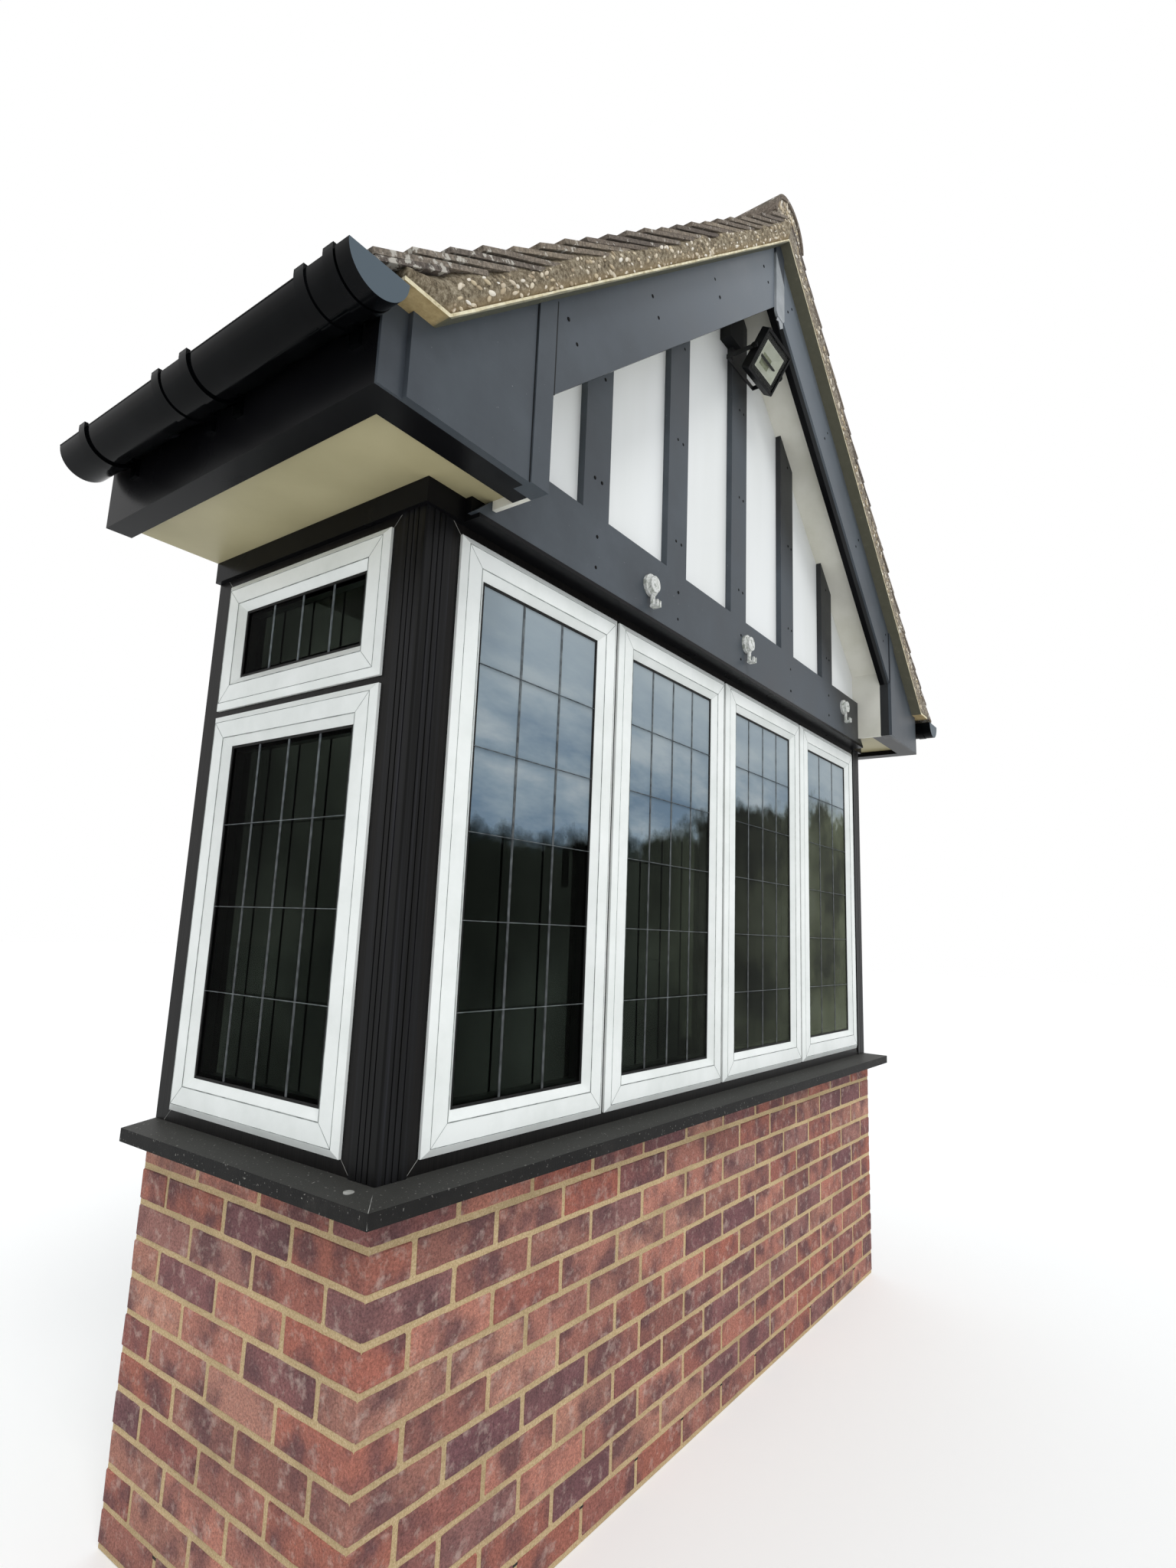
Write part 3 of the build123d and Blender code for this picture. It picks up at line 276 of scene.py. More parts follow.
fired = addNode(tree, mixKind, {7: "#3f4336"}, {0: moss, 6: fired})
lichen = addNode(tree, noiseKind, {"grain": (46.0, 6.0, 0.65)}, {0: place})  # 20 mm patches
level = addNode(tree, splitKind, {}, {0: place}).outputs["Z"]
low = addNode(tree, spanKind, {"span": weatherAndPaintedLight["lichen"]}, {"Value": level})  # most of it near the eaves
lichen = addNode(tree, "ADD", {}, {0: lichen, 1: low})
lichen = addNode(tree, rampKind, {"stops": [(0.6, 0.0), (0.64, 0.95)]}, {0: lichen})
fired = addNode(tree, mixKind, {7: "#d2cdc2"}, {0: lichen, 6: fired})
pitted = addNode(tree, noiseKind, {"grain": (60.0, 8.0, 0.8)}, {0: place})
relief = addNode(tree, bumpKind, {"Distance": 0.006}, {"Height": pitted})
wire(shader, {"Base Color": fired, "Normal": relief})

# Verge mortar, gauged with coarse sand and pointed by hand: pitted, sandy low down, greyer high up
vergeMortars = []
for word, dark, middle, pale, smear in (
    ("Left", "#4a4033", "#96876e", "#d3c6ac", "#c2aa84"), ("Right", "#554d43", "#958a7a", "#ccc2b1", "#bcae9b"),
):
    material, tree, shader, place = startMaterial("vergeMortar" + word, middle, 0.95, 0.3)
    coarse = addNode(tree, noiseKind, {"grain": (95.0, 9.0, 0.82)}, {0: place})
    tint = addNode(tree, rampKind, {"stops": [(0.36, dark), (0.48, middle), (0.61, pale)]}, {0: coarse})
    low = addNode(tree, spanKind, {"span": weatherAndPaintedLight["smeared"]}, {"Value": slopeLevel(tree, place)})
    tint = addNode(tree, mixKind, {7: smear}, {0: low, 6: tint})
    cells = addNode(tree, cellKind, {"Scale": 75.0}, {0: place})  # 13 mm stones
    stones = addNode(tree, "MULTIPLY_ADD", {1: -0.7}, {0: cells, 2: coarse})
    relief = addNode(tree, bumpKind, {"Distance": 0.009}, {"Height": stones})
    wire(shader, {"Base Color": tint, "Normal": relief})
    vergeMortars.append(material)

# River pebbles in the mortar: smooth limestone and flint, most of them cream
pebbleStone, tree, shader, place = startMaterial("pebbleStone", "#c9bda2", 0.7)
tone = addNode(tree, toneKind, {"attribute_name": "tone"}).outputs["Fac"]
wire(shader, {"Base Color": addNode(tree, rampKind, {"stops": [
    (0.0, "#ebe3d3"), (0.3, "#cbbb9c"), (0.6, "#a08e74"), (0.8, "#dccfb8"), (1.0, "#f2ede2")]}, {0: tone})})

# Fibre cement undercloak, sawn: cream edge, stained green underneath at the left and tan at the right, the underside
# also painted darker as painted shade
fibreCement, tree, shader, place = startMaterial("fibreCement", "#d8cfb2", 0.85, 0.3)
mottle = addNode(tree, noiseKind, {"grain": (38.0, 6.0, 0.7)}, {0: place})
leftStainAndShade, rightStainAndShade, golden, edge = [addNode(tree, rampKind, {"stops": stops}, {0: mottle}) for stops in (
    [(0.35, "#33392f"), (0.6, "#4c5044"), (0.68, "#b4ad92")],
    [(0.35, "#6d6654"), (0.6, "#857d6a"), (0.7, "#c0b393")],
    [(0.35, "#a08a5e"), (0.65, "#c2ad80")],
    [(0.3, "#a59a78"), (0.42, "#d5c9a6"), (0.6, "#eee6c8")])]
across = addNode(tree, splitKind, {}, {0: place}).outputs["X"]
right = addNode(tree, "GREATER_THAN", {1: 0.0}, {0: across})
stainAndShade = addNode(tree, mixKind, {}, {0: right, 6: leftStainAndShade, 7: rightStainAndShade})
out = addNode(tree, "ABSOLUTE", {}, {0: across})
eaves = addNode(tree, spanKind, {"span": weatherAndPaintedLight["golden"]}, {"Value": out})
stainAndShade = addNode(tree, mixKind, {}, {0: eaves, 6: stainAndShade, 7: golden})
# faces that look down take the stain and the painted shade, the rest keeps the cream edge
tint = addNode(tree, mixKind, {}, {0: facingUp(tree, (-0.2, -0.5)), 6: edge, 7: stainAndShade})
wave = addNode(tree, noiseKind, {"grain": (9.0, 3.0)}, {0: place})
rise = addNode(tree, "MULTIPLY_ADD", {1: weatherAndPaintedLight["wave"]}, {0: wave, 2: slopeLevel(tree, place)})
foot = addNode(tree, spanKind, {"span": weatherAndPaintedLight["grime"]}, {"Value": rise})
tint = addNode(tree, mixKind, {7: "#5a5a4c"}, {0: foot, 6: tint})  # grime on the drip
wire(shader, {"Base Color": tint})

# Black PVC-U gutter, extruded: glossy near black, its stop end painted blue grey as a painted sky reflection, and
# duller
glossGutter, tree, shader, place = startMaterial("glossGutter", "#060708", 0.16, 0.07)
dust = addNode(tree, noiseKind, {"grain": (8.0, 6.0, 0.6)}, {0: place})
tint = addNode(tree, rampKind, {"stops": [(0.4, "#040506"), (0.8, "#0e0f11")]}, {0: dust})
# painted sky reflection on the stop end, beyond the gutter's end
end = addNode(tree, splitKind, {}, {0: place}).outputs["Y"]
end = addNode(tree, "LESS_THAN", {1: weatherAndPaintedLight["skyOnGutterEnd"]}, {0: end})
tint = addNode(tree, mixKind, {7: "#566169"}, {0: end, 6: tint})
dull = addNode(tree, rampKind, {"stops": [(0.4, 0.1), (0.75, 0.3)]}, {0: dust})
dull = addNode(tree, mixKind, {7: (0.4, 0.4, 0.4, 1)}, {0: end, 6: dull})
wire(shader, {"Base Color": tint, "Roughness": dull})

# Sawn softwood: pale timber with grain along its length
sawnTimber = plainMaterial("sawnTimber", "#b58f5f", 0.8, (1.0, 5.0), [(0.3, "#93703f"), (0.7, "#c9a878")],
                           lift=(0.0008,), stretch=(6.0, 140.0, 140.0))

# Cast concrete floor, floated
castConcrete = plainMaterial("castConcrete", "#a8a49c", 0.85, (18.0, 7.0), [(0.3, "#8f8b83"), (0.7, "#b9b5ad")])

# Softwood window board, planed and painted: eggshell white, brush marks along it
paintedBoard = plainMaterial("paintedBoard", "#e6e4de", 0.4, (1.0,), lift=(0.0003,), stretch=(4.0, 90.0, 90.0))

# Float glass sealed in units: a pale, clouded painted sky reflection above, near black below where the room shows, a
# painted green reflection of trees to the right.
# The index comes down from 1.52 until the panes mirror the pale studio as weakly as dark surroundings.
paneLook = {"index": 1.05, "tilt": -0.177, "ragged": 0.5, "edge": (1.88, 1.94), "paintedSkyHigh": (1.7, 2.05, 0.0, 0.8),
            "paintedTreeShare": (-0.5, 1.0, 0.0, 0.85), "paintedTreeVeil": -0.32, "paintedSkyVeil": -0.6, "leastClear": 0.4}
floatGlass, tree, shader, place = startMaterial(
    "floatGlass", "#8f9a9a", 0.0, IOR=paneLook["index"], Transmission_Weight=1.0)
spot = addNode(tree, splitKind, {}, {0: place}).outputs
mottle = addNode(tree, noiseKind, {"grain": (3.0, 9.0, 0.6)}, {0: place})
# the line between the painted sky above and the room below leans across the panes and is ragged
rise = addNode(tree, "MULTIPLY_ADD", {1: paneLook["tilt"]}, {0: spot["X"], 2: spot["Z"]})
rise = addNode(tree, "MULTIPLY_ADD", {1: paneLook["ragged"]}, {0: mottle, 2: rise})
share = addNode(tree, spanKind, {"span": paneLook["edge"]}, {"Value": rise})
# painted sky reflection: pale clouds, palest high up
paintedSkyPlace = addNode(tree, mapKind, {"Scale": (1.6, 1.6, 5.0)}, {0: place})
pale = patches(tree, paintedSkyPlace, (1.5, 5.0, 0.6), [(0.36, "#7f95a8"), (0.5, "#9fb0bb"), (0.64, "#bdc7cc")])
high = addNode(tree, spanKind, {"span": paneLook["paintedSkyHigh"]}, {"Value": spot["Z"]})
pale = addNode(tree, mixKind, {7: "#c4cfd4"}, {0: high, 6: pale})
room = addNode(tree, rampKind, {"stops": [(0.35, "#4b504b"), (0.7, "#6c726c")]}, {0: mottle})
# painted reflection of trees, olive, to the right
paintedTrees = addNode(tree, rampKind, {"stops": [(0.38, "#5a5f50"), (0.52, "#8d9478"), (0.66, "#a3aa92")]}, {0: mottle})
paintedTreeShare = addNode(tree, spanKind, {"span": paneLook["paintedTreeShare"]}, {"Value": spot["X"]})
room = addNode(tree, mixKind, {}, {0: paintedTreeShare, 6: room, 7: paintedTrees})
# where the painted sky and trees lie, the panes let less through
paintedTreeVeil = addNode(tree, "MULTIPLY_ADD", {1: paneLook["paintedTreeVeil"], 2: 1.0}, {0: paintedTreeShare})
clear = addNode(tree, "MULTIPLY_ADD", {1: paneLook["paintedSkyVeil"]}, {0: share, 2: paintedTreeVeil})
clear = addNode(tree, "MAXIMUM", {1: paneLook["leastClear"]}, {0: clear})
wire(shader, {"Base Color": addNode(tree, mixKind, {}, {0: share, 6: room, 7: pale}), "Transmission Weight": clear})

# Side lights, the same glass, dark all over
dimGlass = plainMaterial("dimGlass", "#6f7674", 0.0, (2.4, 6.0, 0.6), [(0.35, "#4a4f4a"), (0.7, "#6e746d")],
                         IOR=paneLook["index"], Transmission_Weight=1.0)

# Lead strip, rolled and stuck to both sides of the glass: dull grey, with painted highlights and reflections: the
# cross bars painted paler than the uprights, each changing in shade between low and high
leadBars = {}
for word, darkLow, paleLow, darkHigh, paleHigh in (
    ("Cross", "#5e6366", "#9aa0a2", "#43494d", "#7c8488"), ("Upright", "#2e3133", "#585c5e", "#3e4448", "#6c7477"),
):
    leadBars[word], tree, shader, place = startMaterial("lead" + word, paleLow, 0.5, Metallic=0.5)
    rub = addNode(tree, noiseKind, {"grain": (60.0, 4.0)}, {0: place})
    low, high = [addNode(tree, rampKind, {"stops": [(0.35, dark), (0.7, pale)]}, {0: rub})
                 for dark, pale in ((darkLow, paleLow), (darkHigh, paleHigh))]
    # painted reflections: each lead's shade changes between low and high on the window
    level = addNode(tree, splitKind, {}, {0: place}).outputs["Z"]
    share = addNode(tree, spanKind, {"span": weatherAndPaintedLight["paintedGlintHeights"]}, {"Value": level})
    wire(shader, {"Base Color": addNode(tree, mixKind, {}, {0: share, 6: low, 7: high})})

# Black rubber glazing gasket, extruded: matt, with a faint bloom
rubberGasket = plainMaterial("rubberGasket", "#0f0f0f", 0.6, (25.0, 4.0), [(0.4, "#0b0b0b"), (0.8, "#1d1d1c")],
                             specular=0.2)

# Mill-finish aluminium spacer bar inside the glass unit
millSpacer = plainMaterial("millSpacer", "#b9bdbe", 0.38, (90.0, 3.0), dull=[(0.3, 0.3), (0.7, 0.46)], Metallic=1.0)

# Joint lines between profiles: grey on white, pale on black; the grey also draws painted shade lines on the sashes,
# the black painted shadow lines on slate
jointAndShadeLines = {}
for word, first, second in (("Grey", "#747a77", "#a2a7a4"), ("Pale", "#7b7b78", "#a09f9a"),
                            ("Black", "#08090a", "#131416")):
    jointAndShadeLines[word] = plainMaterial("jointAndShadeLine" + word, first, 0.6, (40.0, 4.0), [(0.4, first), (0.6, second)],
                                     specular=0.2)

# Coated steel screw heads, pressed: near black; and the moulded white cap on the sill
screwCap = plainMaterial("screwCap", "#040405", 0.6, (200.0,), [(0.4, "#020202"), (0.7, "#0a0a0b")], specular=0.1)
whiteCap = plainMaterial("whiteCap", "#a5a6a1", 0.5, (60.0,), [(0.4, "#94948e"), (0.7, "#b4b4af")])

# Clear moulded polycarbonate hooks: bright, with pale and grey streaks laid by a noise as painted refraction
# highlights
clearPlastic = plainMaterial(
    "clearPlastic", "#f6f8f2", 0.12, (70.0, 3.0), [(0.38, "#b5bab0"), (0.48, "#fafbf8"), (0.64, "#d2d6cd")],
    [(0.35, 0.05), (0.7, 0.2)], IOR=1.58, Transmission_Weight=0.25)

# Die-cast handle, powder coated white
enamelHandle = plainMaterial("enamelHandle", "#e6e8e7", 0.3, (700.0,), lift=(0.0001,))

# Die-cast aluminium lamp head, powder coated black: fine orange peel
powderCoat, tree, shader, place = startMaterial("powderCoat", "#08090a", 0.4, 0.12)
coat = addNode(tree, noiseKind, {"Scale": 700.0}, {0: place})
tint = patches(tree, place, (30.0, 4.0), [(0.4, "#070808"), (0.75, "#141517")])
relief = addNode(tree, bumpKind, {"Distance": 0.00005}, {"Height": coat})
wire(shader, {"Base Color": tint, "Normal": relief})

# Bent steel yoke, zinc plated and painted black
blackYoke = plainMaterial("blackYoke", "#141517", 0.42, (40.0, 4.0), [(0.4, "#101113"), (0.75, "#26272a")],
                          specular=0.3)

# Toughened lamp glass, clear
lampGlass = plainMaterial("lampGlass", "#eef0ea", 0.02, (30.0, 4.0), dull=[(0.4, 0.0), (0.75, 0.08)],
                          IOR=1.15, Transmission_Weight=1.0)

# Lamp reflector, pressed and white enamelled; the light-source plate in it, coated yellowish grey
whiteReflector = plainMaterial("whiteReflector", "#dfe0d8", 0.35, (25.0, 3.0), [(0.35, "#d3d4ca"), (0.65, "#e4e5de")])
sourcePlate = plainMaterial("sourcePlate", "#8d9078", 0.4, (120.0, 3.0), [(0.4, "#858970"), (0.6, "#979a83")])

# Moulded ABS junction box, black: fine spark texture
mouldedBox = plainMaterial("mouldedBox", "#17181a", 0.45, (500.0,), lift=(0.0002,), specular=0.25)
print("materials made")

nodeFinish = (
    (foiledBlack, "front_frame side_frame_left side_frame_right"),
    (foiledPost, "corner_posts"),
    (foiledTrim, "head_trim fascias verge_trim soffit_trims"),
    (foiledWhite, "front_sashes side_sashes_left side_sashes_right"),
    (coatedSill, "sill_front sill_left sill_right"),
    (foiledSlate, "gable_beam gable_studs barge_board_left barge_board_right box_end_left box_end_right"),
    (bleachedCover, "apex_cover"), (cellularWhite, "gable_panel"), (ivoryBoard, "box_linings verge_soffit"),
    (creamSoffit, "soffit_left soffit_right"), (fibreCement, "undercloak"),
    (vergeMortars[1], "ridge_mortar"), (plainTile, "ridge_tiles"), (glossGutter, "gutter_left gutter_right"),
    (sawnTimber, "battened_deck_left battened_deck_right rafters_left rafters_right"),
    (sawnTimber, "ridge_board ceiling_joists lintel"),
    (wallPlaster, "ceiling"), (castConcrete, "floor_slab"), (paintedBoard, "window_board"),
    (enamelHandle, "window_handles"), (clearPlastic, "beam_hooks"), (powderCoat, "floodlight_head"),
    (lampGlass, "floodlight_lens"), (blackYoke, "floodlight_yoke"), (mouldedBox, "junction_box"),
)
for finish, names in nodeFinish:
    for name in names.split():
        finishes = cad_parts[name].data.materials
        finishes.clear()
        finishes.append(finish)
print("CAD nodes dressed")


def makePiece(name, mesh, finishes=()):
    piece = bpy.data.objects.new(name, mesh)
    bpy.context.scene.collection.objects.link(piece)
    for finish in finishes:
        mesh.materials.append(finish)
    return piece


def toMesh(name, work):
    bmesh.ops.recalc_face_normals(work, faces=work.faces)
    mesh = bpy.data.meshes.new(name)
    work.to_mesh(mesh)
    work.free()
    return mesh


def fromBmesh(name, work, finishes, smooth=False):
    bmesh.ops.remove_doubles(work, verts=work.verts, dist=1e-6)
    mesh = toMesh(name, work)
    if smooth:
        mesh.shade_smooth()
    return makePiece(name, mesh, finishes)


def addBlock(work, low, high):  # a box given in millimetres
    verts = [work.verts.new(Vector((x, y, z)) * mm) for x in (low[0], high[0]) for y in (low[1], high[1])
             for z in (low[2], high[2])]
    for loop in ((0, 1, 3, 2), (4, 6, 7, 5), (0, 4, 5, 1), (2, 3, 7, 6), (0, 2, 6, 4), (1, 5, 7, 3)):
        work.faces.new([verts[i] for i in loop])


def bridge(work, a, b, slotIndex=0):  # a band of faces between two rings of vertices
    for i in range(len(a)):
        j = (i + 1) % len(a)
        work.faces.new((a[i], a[j], b[j], b[i])).material_index = slotIndex


def addTube(work, rings, slotIndex=0):  # joins rings of points in millimetres and closes both ends
    made = [[work.verts.new(Vector(p) * mm) for p in ring] for ring in rings]
    for a, b in zip(made, made[1:]):
        bridge(work, a, b, slotIndex)
    for ring in (made[0], made[-1]):
        work.faces.new(ring).material_index = slotIndex


def roundRing(radius, sides):  # points round a circle
    turnBy = 2 * math.pi / sides
    return [(radius * math.cos(a * turnBy), radius * math.sin(a * turnBy)) for a in range(sides)]


def keep(piece, body="bay"):
    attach(piece, body)
    return piece


def openTree(name, inputs):  # a geometry tree and the sockets of its inputs
    group = bpy.data.node_groups.new(name, "GeometryNodeTree")
    for word, kind in (("Geometry", "Geometry"), *inputs):
        group.interface.new_socket(word, in_out="INPUT", socket_type="NodeSocket" + kind)
    group.interface.new_socket("Geometry", in_out="OUTPUT", socket_type="NodeSocketGeometry")
    return group, addNode(group, "NodeGroupInput").outputs


def layTree():  # lays one small piece at every point of a layout mesh, each a little out of true and worn
    group, inputs = openTree("layPieces", (("Piece", "Object"), ("Slip", "Float"), ("Turn", "Float"),
                                           ("Wear", "Float"), ("Seed", "Int"), ("Finish", "Material")))
    info = addNode(group, "GeometryNodeObjectInfo", {}, {"Object": inputs["Piece"]})
    aim, size = [addNode(group, "GeometryNodeInputNamedAttribute", {"data_type": "FLOAT_VECTOR", "Name": name})
                 for name in ("aim", "size")]
    later = addNode(group, "ADD", {1: 7.0}, {0: inputs["Seed"]})
    evenly = {"data_type": "FLOAT_VECTOR", 0: (-1, -1, -1), 1: (1, 1, 1)}
    slips, turns = [addNode(group, "FunctionNodeRandomValue", evenly, {"Seed": seed})
                    for seed in (inputs["Seed"], later)]
    slip = addNode(group, vectorKind, {"operation": "SCALE"}, {0: slips, "Scale": inputs["Slip"]})
    turn = addNode(group, vectorKind, {"operation": "SCALE"}, {0: turns, "Scale": inputs["Turn"]})
    angle = addNode(group, vectorKind, {"operation": "ADD"}, {0: aim, 1: turn})
    moved = addNode(group, "GeometryNodeSetPosition", {}, {"Geometry": inputs["Geometry"], "Offset": slip})
    laid = addNode(group, "GeometryNodeInstanceOnPoints", {}, {
        "Points": moved, "Instance": info.outputs["Geometry"], "Rotation": angle, "Scale": size})
    tone = addNode(group, "FunctionNodeRandomValue", {"data_type": "FLOAT"}, {"Seed": inputs["Seed"]})
    toned = addNode(group, "GeometryNodeStoreNamedAttribute", {
        "data_type": "FLOAT", "domain": "INSTANCE", "Name": "tone"}, {"Geometry": laid, "Value": tone})
    real = addNode(group, "GeometryNodeRealizeInstances", {}, {"Geometry": toned})
    place = addNode(group, "GeometryNodeInputPosition")
    lump = addNode(group, noiseKind, {"Scale": 55.0, "Detail": 2.0}, {"Vector": place}).outputs["Color"]
    lump = addNode(group, vectorKind, {"operation": "SUBTRACT", 1: (0.5, 0.5, 0.5)}, {0: lump})
    lump = addNode(group, vectorKind, {"operation": "SCALE"}, {0: lump, "Scale": inputs["Wear"]})
    worn = addNode(group, "GeometryNodeSetPosition", {}, {"Geometry": real, "Offset": lump})
    kept = addNode(group, vectorKind, {"operation": "MINIMUM", 1: (9.0, 0.0, 9.0)}, {0: place})
    stopped = addNode(group, "GeometryNodeSetPosition", {}, {"Geometry": worn, "Position": kept})  # at the wall
    done = addNode(group, "GeometryNodeSetMaterial", {}, {"Geometry": stopped, "Material": inputs["Finish"]})
    addNode(group, "NodeGroupOutput", {}, {0: done})
    return group


layPieces = layTree()


def evaluate(name, holder, group, values):  # runs a tree and returns its result as a plain mesh piece
    modifier = holder.modifiers.new("tree", "NODES")
    modifier.node_group = group
    for item in group.interface.items_tree:
        if item.in_out == "INPUT" and item.name in values:
            modifier[item.identifier] = values[item.name]
    graph = bpy.context.evaluated_depsgraph_get()
    mesh = bpy.data.meshes.new_from_object(holder.evaluated_get(graph), depsgraph=graph)
    holder.modifiers.remove(modifier)
    bpy.data.objects.remove(holder)
    mesh.name = name
    return makePiece(name, mesh)


def layOut(name, pattern, places, finish, slip=0.0, turn=0.0, wear=0.0, seed=1):  # a place: mm, rotation, scale
    holder = makePiece(name + "Layout", bpy.data.meshes.new(name + "Layout"))
    holder.data.from_pydata([tuple(Vector(p) * mm) for p, aim, size in places], [], [])
    for key, index in (("aim", 1), ("size", 2)):
        layer = holder.data.attributes.new(key, "FLOAT_VECTOR", "POINT")
        for point, row in zip(layer.data, places):
            point.vector = row[index]
    original = makePiece(name + "Pattern", pattern)
    piece = evaluate(name, holder, layPieces, {
        "Piece": original, "Slip": slip, "Turn": turn, "Wear": wear, "Seed": seed, "Finish": finish})
    bpy.data.objects.remove(original)
    return piece


# Brickwork: stretcher bond round the three faces, with counts for the even and the odd courses
brickwork = {
    "course": 75.0, "joint": 10.0, "height": 65.0, "frontLength": 210.5, "sideLength": 215.17, "depth": 102.5,
    "courses": 11, "frontCount": (12, 11), "sideCount": (3, 4), "halfWidth": 1318.0, "front": 778.0,
    "wall": 215.0, "jointDepth": 2.0, "wallGap": 1.5, "arris": 3.2, "stations": 9,
    "feltLevel": 68.0, "feltHeight": 4.0, "feltInset": 1.0,
    "slip": 0.0007, "turn": 0.004, "wear": 0.0035, "seed": 3,
}


def brickPattern():
    work = bmesh.new()
    b = brickwork
    half, arris = Vector((b["frontLength"], b["depth"], b["height"])) / 2, b["arris"]
    rings = []
    for i in range(b["stations"] + 2):
        inset = 0.0 if 0 < i <= b["stations"] else arris  # the ends are chamfered too
        share = min(max((i - 1) / (b["stations"] - 1), 0.0), 1.0)
        x = (2 * share - 1) * (half.x - arris + inset)
        d, h, a = half.y - inset, half.z - inset, arris
        rings.append([(x, y, z) for y, z in (
            (-d, a - h), (-d, 0), (-d, h - a), (a - d, h), (d - a, h), (d, h - a), (d, a - h), (d - a, -h),
            (a - d, -h))])
    addTube(work, rings)
    return toMesh("brickPattern", work)


def brickPlaces():
    b = brickwork
    places = []
    frontY = -(b["front"] - b["depth"] / 2)
    sideX = b["halfWidth"] - b["depth"] / 2
    step = b["depth"] + b["joint"]
    for row in range(b["courses"]):
        z = (row + 1) * b["course"] - b["height"] / 2
        odd = row % 2
        count = b["frontCount"][odd]
        start = -b["halfWidth"] + (step if odd else 0)
        length = (2 * abs(start) - (count - 1) * b["joint"]) / count
        for i in range(count):
            x = start + length / 2 + i * (length + b["joint"])
            places.append(((x, frontY, z), (0, 0, 0), (length / b["frontLength"], 1, 1)))
        for side in (-1, 1):
            y = -b["front"] + (0 if odd else step)
            for i in range(b["sideCount"][odd]):
                length = b["sideLength"] if i < b["sideCount"][0] else b["depth"]
                places.append(((side * sideX, y + length / 2, z), (0, 0, math.pi / 2),
                               (length / b["frontLength"], 1, 1)))
                y += length + b["joint"]
    return places


bricks = layOut("facingBricks", brickPattern(), brickPlaces(), facingBrick, brickwork["slip"], brickwork["turn"],
                brickwork["wear"], brickwork["seed"])
keep(bricks)
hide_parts("plinth_front", "plinth_left", "plinth_right")

work = bmesh.new()
inner = brickwork["halfWidth"] - brickwork["wall"]
outer = brickwork["halfWidth"] - brickwork["jointDepth"]
back = brickwork["front"] - brickwork["wall"]
front = brickwork["front"] - brickwork["jointDepth"]
top = brickwork["courses"] * brickwork["course"]
addBlock(work, (-outer, -front, 0), (outer, -back, top))
addBlock(work, (-outer, -back, 0), (-inner, -brickwork["wallGap"], top))
addBlock(work, (inner, -back, 0), (outer, -brickwork["wallGap"], top))
bmesh.ops.recalc_face_normals(work, faces=work.faces)
for face in work.faces:
    middle = face.calc_center_median()
    inside = abs(abs(middle.x) - inner * mm) < 1e-4 and abs(face.normal.x) > 0.5
    behind = abs(middle.y + back * mm) < 1e-4 and abs(face.normal.y) > 0.5
    face.material_index = 1 if inside or behind else 0
keep(fromBmesh("mortarJoints", work, [jointMortar, wallPlaster]))

work = bmesh.new()
inset = brickwork["feltInset"]
reach = brickwork["halfWidth"] - inset
foot, head = brickwork["feltLevel"], brickwork["feltLevel"] + brickwork["feltHeight"]
addBlock(work, (-reach, -brickwork["front"] + inset, foot), (reach, -back, head))
for side in (-1, 1):
    ends = sorted((side * inner, side * reach))
    addBlock(work, (ends[0], -back, foot), (ends[1], -inset, head))
keep(fromBmesh("dampCourse", work, [dampFelt]))
print("brickwork laid")

# Roof tiles: broken bond, the eaves courses a little flatter, a short course under the first
roof = {
    "eavesPitch": 38.0, "eavesCourses": 4, "slopeCourses": 17, "gauge": 100.0, "step": 14.0,
    "noseX": 1662.0, "noseZ": 2356.0, "verge": 1002.0, "columns": 6, "thickness": 9.4, "length": 290.0,
    "ridgeCut": 25.0, "gap": 2.5, "camber": 2.5, "underShare": 0.6, "underGap": 1.0,
    "slip": 0.0014, "turn": 0.008, "wear": 0.005, "seed": 11,
}


def tilePattern(width):
    work = bmesh.new()
    across, along = 4, 4
    rows = []
    for layer in (0, 1):
        for i in range(along + 1):
            row = []
            for j in range(across + 1):
                share = 2 * j / across - 1
                x = -roof["length"] * i / along
                y = share * (width - roof["gap"]) / 2
                z = -roof["camber"] * share * share - layer * roof["thickness"]
                row.append(work.verts.new(Vector((x, y, z)) * mm))
            rows.append(row)
    upper, lower = rows[:along + 1], rows[along + 1:]
    for sheet in (upper, lower):
        for i in range(along):
            for j in range(across):
                work.faces.new((sheet[i][j], sheet[i][j + 1], sheet[i + 1][j + 1], sheet[i + 1][j]))
    for j in range(across):
        for i in (0, -1):
            work.faces.new((upper[i][j], upper[i][j + 1], lower[i][j + 1], lower[i][j]))
    for i in range(along):
        for j in (0, -1):
            work.faces.new((upper[i][j], upper[i + 1][j], lower[i + 1][j], lower[i][j]))
    return toMesh("tilePattern", work)


def tileTips():
    leans = [roof["eavesPitch"]] * roof["eavesCourses"] + [roofPitch] * roof["slopeCourses"]
    tips = [(roof["noseX"], roof["noseZ"])]
    for lean in leans:
        x, z = tips[-1]
        run = math.radians(lean)
        tips.append((x - roof["gauge"] * math.cos(run), z + roof["gauge"] * math.sin(run)))
    return tips, [math.radians(lean) for lean in leans]


